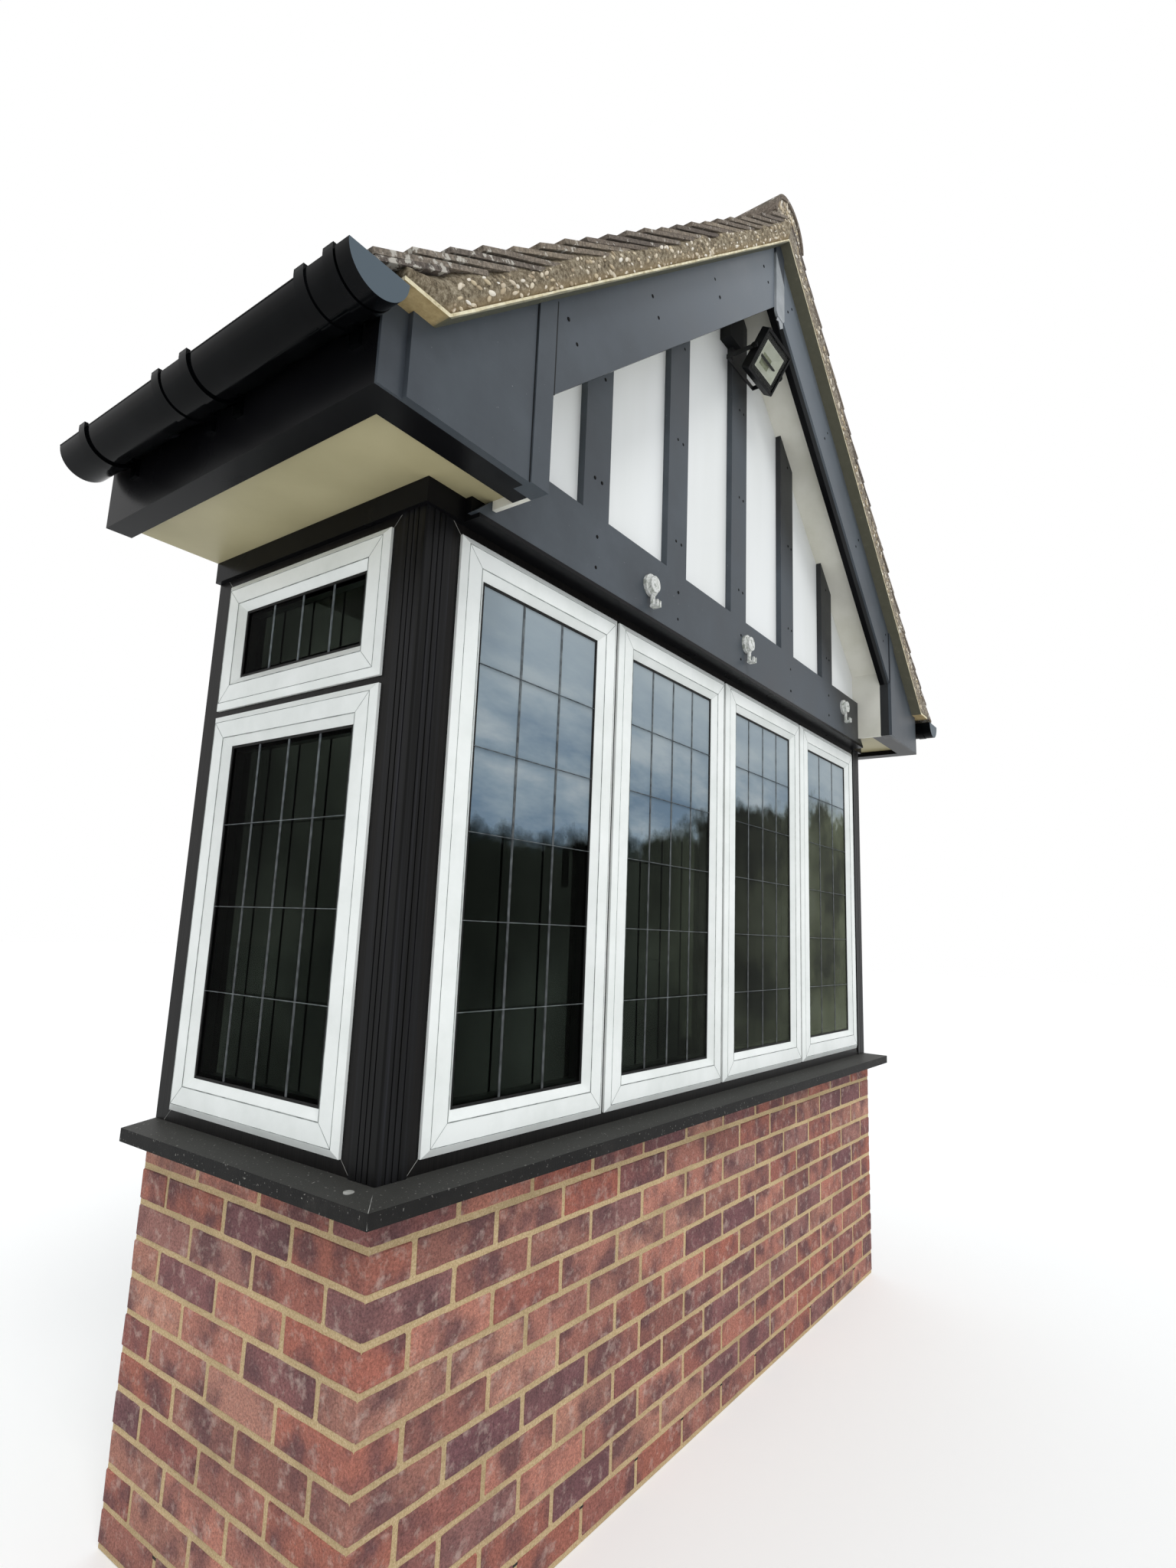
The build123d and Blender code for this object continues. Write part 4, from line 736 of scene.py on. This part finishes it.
def tilePlaces(side):
    tips, leans = tileTips()
    width = roof["verge"] / roof["columns"]
    rest = math.atan(roof["step"] / roof["gauge"])  # a tile lies flatter than the roof
    wholes = [1.0] * roof["columns"]
    broken = [1.5] + [1.0] * (roof["columns"] - 2) + [0.5]
    drop = roof["thickness"] + roof["underGap"]
    under = (tips[0][0] - drop * math.sin(leans[0]), tips[0][1] - drop * math.cos(leans[0]))
    rows = [(under, leans[0], broken, roof["underShare"])]  # the short course under the first
    rows += [(tip, lean, broken if i % 2 else wholes, 1.0) for i, (tip, lean) in enumerate(zip(tips, leans))]
    places = []
    for (x, z), lean, shares, length in rows:
        y = -roof["verge"]
        length = min(length, (x - roof["ridgeCut"]) / (roof["length"] * math.cos(lean - rest)))  # cut at the ridge
        for share in shares:
            places.append(((side * x, y + share * width / 2, z), (0, lean - rest, 0 if side > 0 else math.pi),
                           (length, share, 1)))
            y += share * width
    return places


for side, word in ((-1, "left"), (1, "right")):
    tiles = layOut("plainTiles_" + word, tilePattern(roof["verge"] / roof["columns"]), tilePlaces(side),
                   plainTile, roof["slip"], roof["turn"], roof["wear"], roof["seed"] + side)
    keep(tiles)
    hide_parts("roof_tiles_" + word)

# Verge mortar: fills from the undercloak up to the tiles and laps over their lower ends, pebbles in it.
# Each step of the section is a share of the height up to the tile tips, and the face in front of the wall.
verge = {
    "apex": 3660.7, "kink": 1486.0, "lip": 1592.0, "undercloak": 8.0, "undercloakTop": 2354.0, "back": 935.0,
    "section": ((0.0, 994.0), (0.05, 998.0), (0.11, 1001.5), (0.2, 1003.5), (0.29, 1004.5), (0.38, 1004.5),
                (0.45, 1003.0), (0.5, 1000.0), (0.56, 996.0), (0.62, 991.0), (0.7, 984.0)),
    "step": 5.0, "lump": 2.6, "furthest": 1005.5, "lumpSize": 15.0, "wander": 0.3, "wanderSize": 70.0,
    "tuck": 12, "eavesShare": 0.55, "ridgeHalf": 0.5, "pebbles": 260, "pebbleSizes": (2.2, 6.2), "flat": 0.6,
    "pebbleStart": 40.0, "pebbleLean": 8.0, "pebbleSway": 35.0, "long": (1.0, 1.9), "short": (0.55, 0.9),
    "plug": (0.0, 3708.0, 997.0), "plugRadius": 92.0, "plugPebbles": 120, "plugTurn": 3.1,
    "plugLong": (1.0, 2.2), "plugShort": (0.6, 1.0), "seed": 29,
}


def vergeHeights(x):  # the undercloak and the tile tips over x
    tips = tileTips()[0]
    low = max(verge["undercloakTop"], verge["apex"] - x * slope + verge["undercloak"] * math.hypot(1, slope))
    for (x0, z0), (x1, z1) in zip(tips, tips[1:]):
        if x1 <= x <= x0:
            return low, z0 + (z1 - z0) * (x0 - x) / (x0 - x1)
    return low, tips[-1][1] + (tips[-1][0] - x) * slope


def vergePoint(side, x, share, face):
    low, high = vergeHeights(x)
    opening = min(max((verge["lip"] - x) / (verge["lip"] - verge["kink"]), 0.0), 1.0)
    height = verge["eavesShare"] + (1 - verge["eavesShare"]) * opening
    height *= 1 + verge["wander"] * noise.noise(Vector((x / verge["wanderSize"], side * 3.0, 0.5)))
    z = low + share * height * (high - low)
    spot = Vector((side * x, z, 0.0)) / verge["lumpSize"]
    swell = noise.noise(spot) + 0.5 * noise.noise(spot * 2.3)
    swell *= min(1.0, share * verge["tuck"])  # none where it meets the undercloak
    return (side * x, -min(face + verge["lump"] * swell, verge["furthest"]), z)


work = bmesh.new()
for side in (-1, 1):
    count = int((verge["lip"] - verge["ridgeHalf"]) / verge["step"])
    rings = []
    for i in range(count + 1):
        x = verge["lip"] + (verge["ridgeHalf"] - verge["lip"]) * i / count
        ring = [vergePoint(side, x, share, face) for share, face in verge["section"]]
        ring += [(side * x, -verge["back"], ring[-1][2]), (side * x, -verge["back"], ring[0][2])]
        rings.append(ring)
    addTube(work, rings, int(side > 0))
bedding = keep(fromBmesh("vergeBedding", work, vergeMortars, smooth=True))
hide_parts("verge_mortar")

work = bmesh.new()
bmesh.ops.create_icosphere(work, subdivisions=2, radius=mm)
pebble = toMesh("pebblePattern", work)
pebble.shade_smooth()
draw = random.Random(verge["seed"])
places = []
for side in (-1, 1):
    for i in range(verge["pebbles"]):
        x = draw.uniform(verge["pebbleStart"], verge["kink"])
        share, face = draw.choice(verge["section"][1:7])  # where the mortar bulges
        size = draw.uniform(*verge["pebbleSizes"])
        sway = draw.uniform(-verge["pebbleSway"], verge["pebbleSway"])
        lean = side * math.radians(roofPitch - verge["pebbleLean"] + sway)
        places.append((vergePoint(side, x, share, face), (0, lean, 0), (
            size * draw.uniform(*verge["long"]), size * verge["flat"], size * draw.uniform(*verge["short"]))))
for i in range(verge["plugPebbles"]):  # the mortar in the mouth of the ridge tile
    x, z, y = verge["plug"]
    turnBy, reach = draw.uniform(0.0, math.pi), verge["plugRadius"] * math.sqrt(draw.random())
    size = draw.uniform(*verge["pebbleSizes"])
    spot = (x + reach * math.cos(turnBy), -y, z + reach * math.sin(turnBy))
    places.append((spot, (0, draw.uniform(0, verge["plugTurn"]), 0), (
        size * draw.uniform(*verge["plugLong"]), size * verge["flat"], size * draw.uniform(*verge["plugShort"]))))
keep(layOut("vergePebbles", pebble, places, pebbleStone, 0.0008, 0.2, 0.0, verge["seed"]))
print("roof tiled and pointed")

# Windows: each light is side, across, up, width, height, lead columns and rows
glazing = {
    "frontFace": 764.0, "sideFace": 1304.0, "sashProud": 14.0, "sashFace": 76.0, "glassRecess": 18.0, "unit": 28.0,
    "pane": 4.0, "bite": 11.7, "gasket": 6.0, "gasketHeight": 3.0, "spacerShow": 8.0,
    "leadWidth": 8.0, "leadThickness": 1.6, "leadGap": 1.0, "lineHeight": 0.3, "lineSink": 0.5,
    "shadeRings": ((15.6, 1.4), (56.0, 2.0)), "mitre": (16.0, 57.0), "mitreWidth": 0.9,
    "frameFoot": 855.0, "sashFoot": 883.0, "sashHead": 2127.0, "frameHead": 2155.0, "frameGap": 1,
    "frontCorner": (1233.0, 1206.0), "sideCorners": ((-693.0, -666.0), (-37.0, -64.0)),
    "frameSeam": (-0.4, 1.0, 0.7),
}
lights = [
    ("front", -916.0, 1505.0, 580.0, 1244.0, 3, 6), ("front", -309.75, 1505.0, 606.5, 1244.0, 4, 6),
    ("front", 309.75, 1505.0, 606.5, 1244.0, 4, 6), ("front", 916.0, 1505.0, 580.0, 1244.0, 3, 6),
]
for side in ("left", "right"):
    lights += [(side, -365.0, 1336.0, 602.0, 906.0, 4, 4), (side, -365.0, 1966.5, 602.0, 321.0, 4, 1)]


def onFace(side, across, up, out):  # a point `out` mm in front of a frame face
    if side == "front":
        return Vector((across, -(glazing["frontFace"] + out), up)) * mm
    x = glazing["sideFace"] + out
    return Vector((x if side == "right" else -x, across, up)) * mm


def addRing(work, light, outerInset, innerInset, low, high):
    side, across, up, width, height = light[:5]
    loops = []
    for out in (low, high):
        for inset in (outerInset, innerInset):
            w, h = width / 2 - inset, height / 2 - inset
            loops.append([work.verts.new(onFace(side, across + sx * w, up + sz * h, out))
                          for sx, sz in corners])
    outerLow, innerLow, outerHigh, innerHigh = loops
    for a, b in ((outerHigh, innerHigh), (outerLow, innerLow), (outerLow, outerHigh), (innerLow, innerHigh)):
        bridge(work, a, b)


def addPlate(work, light, inset, low, high):
    side, across, up, width, height = light[:5]
    w, h = width / 2 - inset, height / 2 - inset
    a, b = onFace(side, across - w, up - h, low), onFace(side, across + w, up + h, high)
    addBlock(work, [min(a[i], b[i]) / mm for i in range(3)], [max(a[i], b[i]) / mm for i in range(3)])


glassFront = glazing["sashProud"] - glazing["glassRecess"]
glassBack = glassFront - glazing["unit"]
glassEdge = glazing["sashFace"] - glazing["bite"]
gasketEdge = glazing["sashFace"] + glazing["gasket"]
for word, sides, glass in (("front", ("front",), floatGlass), ("side", ("left", "right"), dimGlass)):
    panes, spacers, gaskets = bmesh.new(), bmesh.new(), bmesh.new()
    for light in lights:
        if light[0] in sides:
            addPlate(panes, light, glassEdge, glassFront - glazing["pane"], glassFront)
            addPlate(panes, light, glassEdge, glassBack, glassBack + glazing["pane"])
            addRing(spacers, light, glassEdge, gasketEdge + glazing["spacerShow"],
                    glassBack + glazing["pane"], glassFront - glazing["pane"])
            addRing(gaskets, light, glazing["sashFace"], gasketEdge, glassFront,
                    glassFront + glazing["gasketHeight"])
            addRing(gaskets, light, glazing["sashFace"], gasketEdge, glassBack - glazing["gasketHeight"], glassBack)
    made = keep(fromBmesh(word + "Panes", panes, [glass]))
    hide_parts(word + "_glass")
    keep(fromBmesh(word + "Spacers", spacers, [millSpacer]))
    keep(fromBmesh(word + "Gaskets", gaskets, [rubberGasket]))


def sweepTree():  # sweeps a flat rounded bar along the lines of a wire mesh
    group, inputs = openTree("sweepBars", (("Width", "Float"), ("Thickness", "Float"), ("Finish", "Material")))
    lines = addNode(group, "GeometryNodeMeshToCurve", {}, {"Mesh": inputs["Geometry"]})
    circle = addNode(group, "GeometryNodeCurvePrimitiveCircle", {"Resolution": 8, "Radius": 0.5})
    scale = addNode(group, "ShaderNodeCombineXYZ", {"Z": 1.0}, {"X": inputs["Width"], "Y": inputs["Thickness"]})
    profile = addNode(group, "GeometryNodeTransform", {}, {"Geometry": circle, "Scale": scale})
    swept = addNode(group, "GeometryNodeCurveToMesh", {"Fill Caps": True}, {
        "Curve": lines, "Profile Curve": profile})
    real = addNode(group, "GeometryNodeRealizeInstances", {}, {"Geometry": swept})
    done = addNode(group, "GeometryNodeSetMaterial", {}, {"Geometry": real, "Material": inputs["Finish"]})
    addNode(group, "NodeGroupOutput", {}, {0: done})
    return group


sweepBars = sweepTree()


def sweep(name, runs, finish, width, thickness):  # runs are pairs of ends, in metres
    mesh = bpy.data.meshes.new(name + "Wire")
    edges = [(2 * i, 2 * i + 1) for i in range(len(runs))]
    mesh.from_pydata([tuple(end) for run in runs for end in run], edges, [])
    holder = makePiece(name + "Wire", mesh)
    return evaluate(name, holder, sweepBars, {"Width": width * mm, "Thickness": thickness * mm, "Finish": finish})


def leadRuns(chosen, out, upright):
    runs = []
    for side, across, up, width, height, columns, rows in chosen:
        w = width / 2 - glazing["sashFace"] - glazing["leadGap"]
        h = height / 2 - glazing["sashFace"] - glazing["leadGap"]
        for i in range(1, columns if upright else rows):
            if upright:
                a = across - w + 2 * w * i / columns
                runs.append((onFace(side, a, up - h, out), onFace(side, a, up + h, out)))
            else:
                z = up - h + 2 * h * i / rows
                runs.append((onFace(side, across - w, z, out), onFace(side, across + w, z, out)))
    return runs


def joined(name, parts, finish):
    work = bmesh.new()
    for part in parts:
        work.from_mesh(part.data)
        bpy.data.objects.remove(part)
    return keep(fromBmesh(name, work, [finish], smooth=True))


leadMiddle = glazing["leadThickness"] / 2
for word, sides in (("front", ("front",)), ("side", ("left", "right"))):
    chosen = [light for light in lights if light[0] in sides]
    for kind in ("Upright", "Cross"):
        name = word + kind + "Leads"
        wide, thick = glazing["leadWidth"], glazing["leadThickness"]
        if kind == "Upright" and word == "side":  # there the sweep's own axes lie the other way
            wide, thick = thick, wide
        bars = [sweep(name, leadRuns(chosen, out, kind == "Upright"), leadBars[kind], wide, thick)
                for out in (glassFront + leadMiddle, glassBack - leadMiddle)]
        joined(name, bars, leadBars[kind])


def addSeam(work, side, start, end, out, width, height):  # a thin raised line between two points of a face
    a, b = Vector(start), Vector(end)
    along = (b - a).normalized()
    half = Vector((-along.y, along.x)) * width / 2
    addTube(work, [[onFace(side, p.x, p.y, level) / mm for p in (a - half, b - half, b + half, a + half)]
                   for level in (out, out + height)])


# Lines on the sashes: mitre seams, and painted shade lines along the lip and the bevel
sashLines, frameLines = bmesh.new(), bmesh.new()
lineFoot = glazing["sashProud"] - glazing["lineSink"]
lineRise = glazing["lineSink"] + glazing["lineHeight"]
for light in lights:
    side, across, up, width, height = light[:5]
    for inset, wide in glazing["shadeRings"]:  # painted shade lines beside the lip and the bevel
        addRing(sashLines, light, inset, inset + wide, lineFoot, lineFoot + lineRise)
    for sx in (-1, 1):
        for sz in (-1, 1):
            ends = [(across + sx * (width / 2 - inset), up + sz * (height / 2 - inset)) for inset in glazing["mitre"]]
            addSeam(sashLines, side, ends[0], ends[1], lineFoot, glazing["mitreWidth"], lineRise)
keep(fromBmesh("sashSeams", sashLines, [jointAndShadeLines["Grey"]]))

frameEnds = [("front", sign * glazing["frontCorner"][0], sign * glazing["frontCorner"][1]) for sign in (-1, 1)]
frameEnds += [(side, a, b) for side in ("left", "right") for a, b in glazing["sideCorners"]]
for side, a, b in frameEnds:
    addSeam(frameLines, side, (a, glazing["frameFoot"] + glazing["frameGap"]), (b, glazing["sashFoot"]),
            *glazing["frameSeam"])
    addSeam(frameLines, side, (a, glazing["frameHead"] - glazing["frameGap"]), (b, glazing["sashHead"]),
            *glazing["frameSeam"])
keep(fromBmesh("frameSeams", frameLines, [jointAndShadeLines["Pale"]]))
print("windows glazed and leaded")

# Sill: its mitres, sealed with a pale bead, and the cap over a fixing on the left arm
sill = {"inner": (1308.0, 768.0), "nose": (1380.0, 840.0), "foot": 816.0, "noseTop": 844.0, "innerTop": 853.4,
        "beadInset": 1.0, "footInset": 0.6, "footGap": 2.0, "bead": 1.6,
        "cap": (-1342.0, -742.0), "capLevel": 849.6, "capRadius": 10.0, "capHeight": 1.8, "capSides": 24,
        "capProfile": ((1.0, -1.0), (1.0, 0.4), (0.8, 0.85), (0.4, 1.0))}
runs = []
for side in (-1, 1):
    inner, nose = sill["inner"], sill["nose"]
    a = Vector((side * inner[0], -inner[1], sill["innerTop"]))
    b = Vector((side * (nose[0] - sill["beadInset"]), -(nose[1] - sill["beadInset"]), sill["noseTop"]))
    c = Vector((side * (nose[0] - sill["footInset"]), -(nose[1] - sill["footInset"]), sill["foot"] + sill["footGap"]))
    runs += [(a * mm, b * mm), (b * mm, c * mm)]
keep(sweep("sillSeams", runs, jointAndShadeLines["Pale"], sill["bead"], sill["bead"]))

work = bmesh.new()
addTube(work, [[(sill["cap"][0] + x, sill["cap"][1] + y, sill["capLevel"] + sill["capHeight"] * height)
                for x, y in roundRing(sill["capRadius"] * share, sill["capSides"])]
               for share, height in sill["capProfile"]])
keep(fromBmesh("sillCap", work, [whiteCap]))

# Painted shadow lines on the gable: black in the gap beside the corner covers, faint along their inner edge, where
# the covers' shade falls
gable = {"plateFace": 958.0, "coverOuter": 1215.0, "coverInner": 1160.0, "gapShadowFoot": 2183.5, "faintDrop": 226.0,
         "gapShadowWidth": 3.0, "faintWidth": 8.0, "proud": 0.4, "sunk": 1.0, "topGap": 1.0}
faintX = gable["coverInner"] - gable["faintWidth"] / 2
work = bmesh.new()
for near, width, foot in (
    (gable["coverOuter"], gable["gapShadowWidth"], gable["gapShadowFoot"]),
    (gable["coverInner"] - gable["faintWidth"], gable["faintWidth"],
     verge["apex"] - faintX * slope - gable["faintDrop"]),
):
    top = verge["apex"] - (near + width) * slope - gable["topGap"]
    for side in (-1, 1):
        xs = sorted((side * near, side * (near + width)))
        addBlock(work, (xs[0], -(gable["plateFace"] + gable["proud"]), foot),
                 (xs[1], -(gable["plateFace"] - gable["sunk"]), top))
keep(fromBmesh("coverSeams", work, [jointAndShadeLines["Black"]]))

# The apex cover's torn lower end, hanging below the boards
tail = {"face": 962.0, "gap": 0.1, "thickness": 2.0, "outline": (
    (-17, 3440), (20, 3440), (22, 3400), (25, 3358), (3, 3340), (-10, 3362), (-27, 3356), (-17, 3376))}
work = bmesh.new()
levels = (tail["gap"], tail["thickness"])
addTube(work, [[(x, -(tail["face"] + out), z) for x, z in tail["outline"]] for out in levels])
keep(fromBmesh("coverTail", work, [bleachedCover]))

# Screw heads on the beam, studs and barge boards
fixings = {
    "radius": 5.0, "height": 1.3, "beamFace": 818.0, "studFace": 816.0, "bargeFace": 958.0, "sides": 10,
    "profile": ((1.0, 0.0), (0.9, 0.6), (0.45, 1.0)), "slip": 0.0006, "seed": 5, "beamRows": (2203, 2285), "pair": 15,
    "studs": ((-795, (2438,)), (-391, (2438, 2762)), (16, (2438, 2768, 3092)), (424, (2438, 2762)), (810, (2438,))),
    "studTops": ((-781, 2731), (-376, 3083), (409, 3083), (797, 2731)),
    "barge": ((1117, 2615), (1084, 2576), (785, 2909), (754, 2868), (453, 3202), (422, 3163), (116, 3498),
              (82, 3463)),
}
work = bmesh.new()
addTube(work, [[(x, y, fixings["height"] * height) for x, y in roundRing(fixings["radius"] * share, fixings["sides"])]
               for share, height in fixings["profile"]])
screw = toMesh("screwPattern", work)
spots = []
for x, heights in fixings["studs"]:
    spots += [(x, -fixings["beamFace"], z) for z in fixings["beamRows"]]
    spots += [(x + s * fixings["pair"], -fixings["studFace"], z) for z in heights for s in (-1, 1)]
spots += [(x, -fixings["studFace"], z) for x, z in fixings["studTops"]]
spots += [(s * x, -fixings["bargeFace"], z) for x, z in fixings["barge"] for s in (-1, 1)]
toFront = (math.pi / 2, 0, 0)
keep(layOut("boardScrews", screw, [(spot, toFront, (1, 1, 1)) for spot in spots], screwCap,
            slip=fixings["slip"], seed=fixings["seed"]))

# Rolled bead along the outer rim of each gutter
gutter = {"beadX": 1705.5, "beadZ": 2330.0, "bead": 5.0, "front": 1006.0, "wallGap": 1.0}
runs = [[Vector((side * gutter["beadX"], -y, gutter["beadZ"])) * mm for y in (gutter["front"], gutter["wallGap"])]
        for side in (-1, 1)]
keep(sweep("gutterBeads", runs, glossGutter, gutter["bead"], gutter["bead"]))

# Floodlight: the reflector funnel behind the lens, and the plate that carries the light source
lamp = {"centre": (0.0, -917.0, 3233.0), "tilt": 33.0, "ledge": 9.0, "mouth": (128.0, 89.0), "throat": (60.0, 40.0),
        "depth": 18.0, "lift": 0.2, "outer": 0.2, "inner": 1.4, "skin": 0.4, "plate": 0.8, "plateInset": 1.3}


def inLamp(across, up, out):  # a point of the lamp, measured from its centre
    tilt = math.radians(lamp["tilt"])
    x, y, z = lamp["centre"]
    back, rise = up * math.sin(tilt) + out * math.cos(tilt), up * math.cos(tilt) - out * math.sin(tilt)
    return (x + across, y - back, z + rise)


def lampFrame(size, inset, out):
    w, h = size[0] / 2 - inset, size[1] / 2 - inset
    return [inLamp(sx * w, sy * h, out) for sx, sy in corners]


work = bmesh.new()
floorLevel = lamp["ledge"] - lamp["depth"] + lamp["lift"]
plateFoot = floorLevel + lamp["skin"]
loops = [[work.verts.new(Vector(p) * mm) for p in lampFrame(lamp[part], lamp[inset], level)]
         for part, inset, level in (("mouth", "outer", lamp["ledge"]), ("mouth", "inner", lamp["ledge"]),
                                    ("throat", "inner", plateFoot), ("throat", "outer", floorLevel))]
for a, b in zip(loops, loops[1:] + loops[:1]):
    bridge(work, a, b)
keep(fromBmesh("lampReflector", work, [whiteReflector]), "floodlight")
work = bmesh.new()
addTube(work, [lampFrame(lamp["throat"], lamp["plateInset"], level)
               for level in (plateFoot, plateFoot + lamp["plate"])])
keep(fromBmesh("lampSource", work, [sourcePlate]), "floodlight")
print("fixings and lamp placed")

# Camera as solved from the photograph
view = {
    "place": (-2358.1, -1977.2, 1306.3), "right": (0.58949569, -0.80690362, 0.037435),
    "down": (0.16435661, 0.07444122, -0.98358803), "forward": (0.79087404, 0.58597359, 0.17650272),
    "focalPixels": 1089.61, "imageWidth": 1536.0, "sensor": 36.0,
}
lens = bpy.data.cameras.new("camera")
camera = bpy.data.objects.new("camera", lens)
bpy.context.scene.collection.objects.link(camera)
axes = Matrix((view["right"], tuple(-v for v in view["down"]), tuple(-v for v in view["forward"]))).transposed()
camera.matrix_world = Matrix.Translation(Vector(view["place"]) * mm) @ axes.to_4x4()
lens.sensor_fit = "HORIZONTAL"
lens.sensor_width = view["sensor"]
lens.lens = view["focalPixels"] / view["imageWidth"] * view["sensor"]
lens.clip_start, lens.clip_end = 0.05, 200.0
bpy.context.scene.camera = camera

# Floor, world and lamp: plain pale studio, soft light from the front left and above
studio = {"floorHalf": 40.0, "floorColour": "#f1f1ef", "worldColour": "#f4f7fb", "worldLight": 0.86,
          "keyPower": 0.95, "keySoftness": 20.0, "keyFrom": (-1.1, -1.8, 2.6), "floorLift": 0.16,
          "floorLevel": -0.001}
work = bmesh.new()
h = studio["floorHalf"]
work.faces.new([work.verts.new((x * h, y * h, studio["floorLevel"])) for x, y in corners])
paleFloor, tree, shader, place = startMaterial("paleFloor", studio["floorColour"], 0.9)
path = addNode(tree, "ShaderNodeLightPath")
lift = addNode(tree, "MULTIPLY", {1: studio["floorLift"]}, {0: path.outputs["Is Camera Ray"]})
shader.inputs["Emission Color"].default_value = (1, 1, 1, 1)
wire(shader, {"Emission Strength": lift})
fromBmesh("studioFloor", work, [paleFloor])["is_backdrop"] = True

world = bpy.data.worlds.new("studioWorld")
bpy.context.scene.world = world
world.use_nodes = True
tree = world.node_tree
tree.nodes.clear()
path = addNode(tree, "ShaderNodeLightPath").outputs
seen = addNode(tree, "MAXIMUM", {}, {0: path["Is Camera Ray"], 1: path["Is Glossy Ray"]})
seen = addNode(tree, "MAXIMUM", {}, {0: seen, 1: path["Is Transmission Ray"]})
glow = {"Color": studio["worldColour"], "Strength": studio["worldLight"]}
lamplight = addNode(tree, "ShaderNodeBackground", glow)
white = addNode(tree, "ShaderNodeBackground", {"Color": "#ffffff", "Strength": 1.0})
both = addNode(tree, "ShaderNodeMixShader", {}, {0: seen, 1: lamplight, 2: white})
addNode(tree, "ShaderNodeOutputWorld", {}, {"Surface": both})

sun = bpy.data.lights.new("softKey", "SUN")
sun.energy = studio["keyPower"]
sun.angle = math.radians(studio["keySoftness"])
key = bpy.data.objects.new("softKey", sun)
bpy.context.scene.collection.objects.link(key)
key.matrix_world = Vector(studio["keyFrom"]).to_track_quat("Z", "Y").to_matrix().to_4x4()
bpy.context.scene.view_settings.view_transform = "Standard"
print("studio set")

low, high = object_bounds()
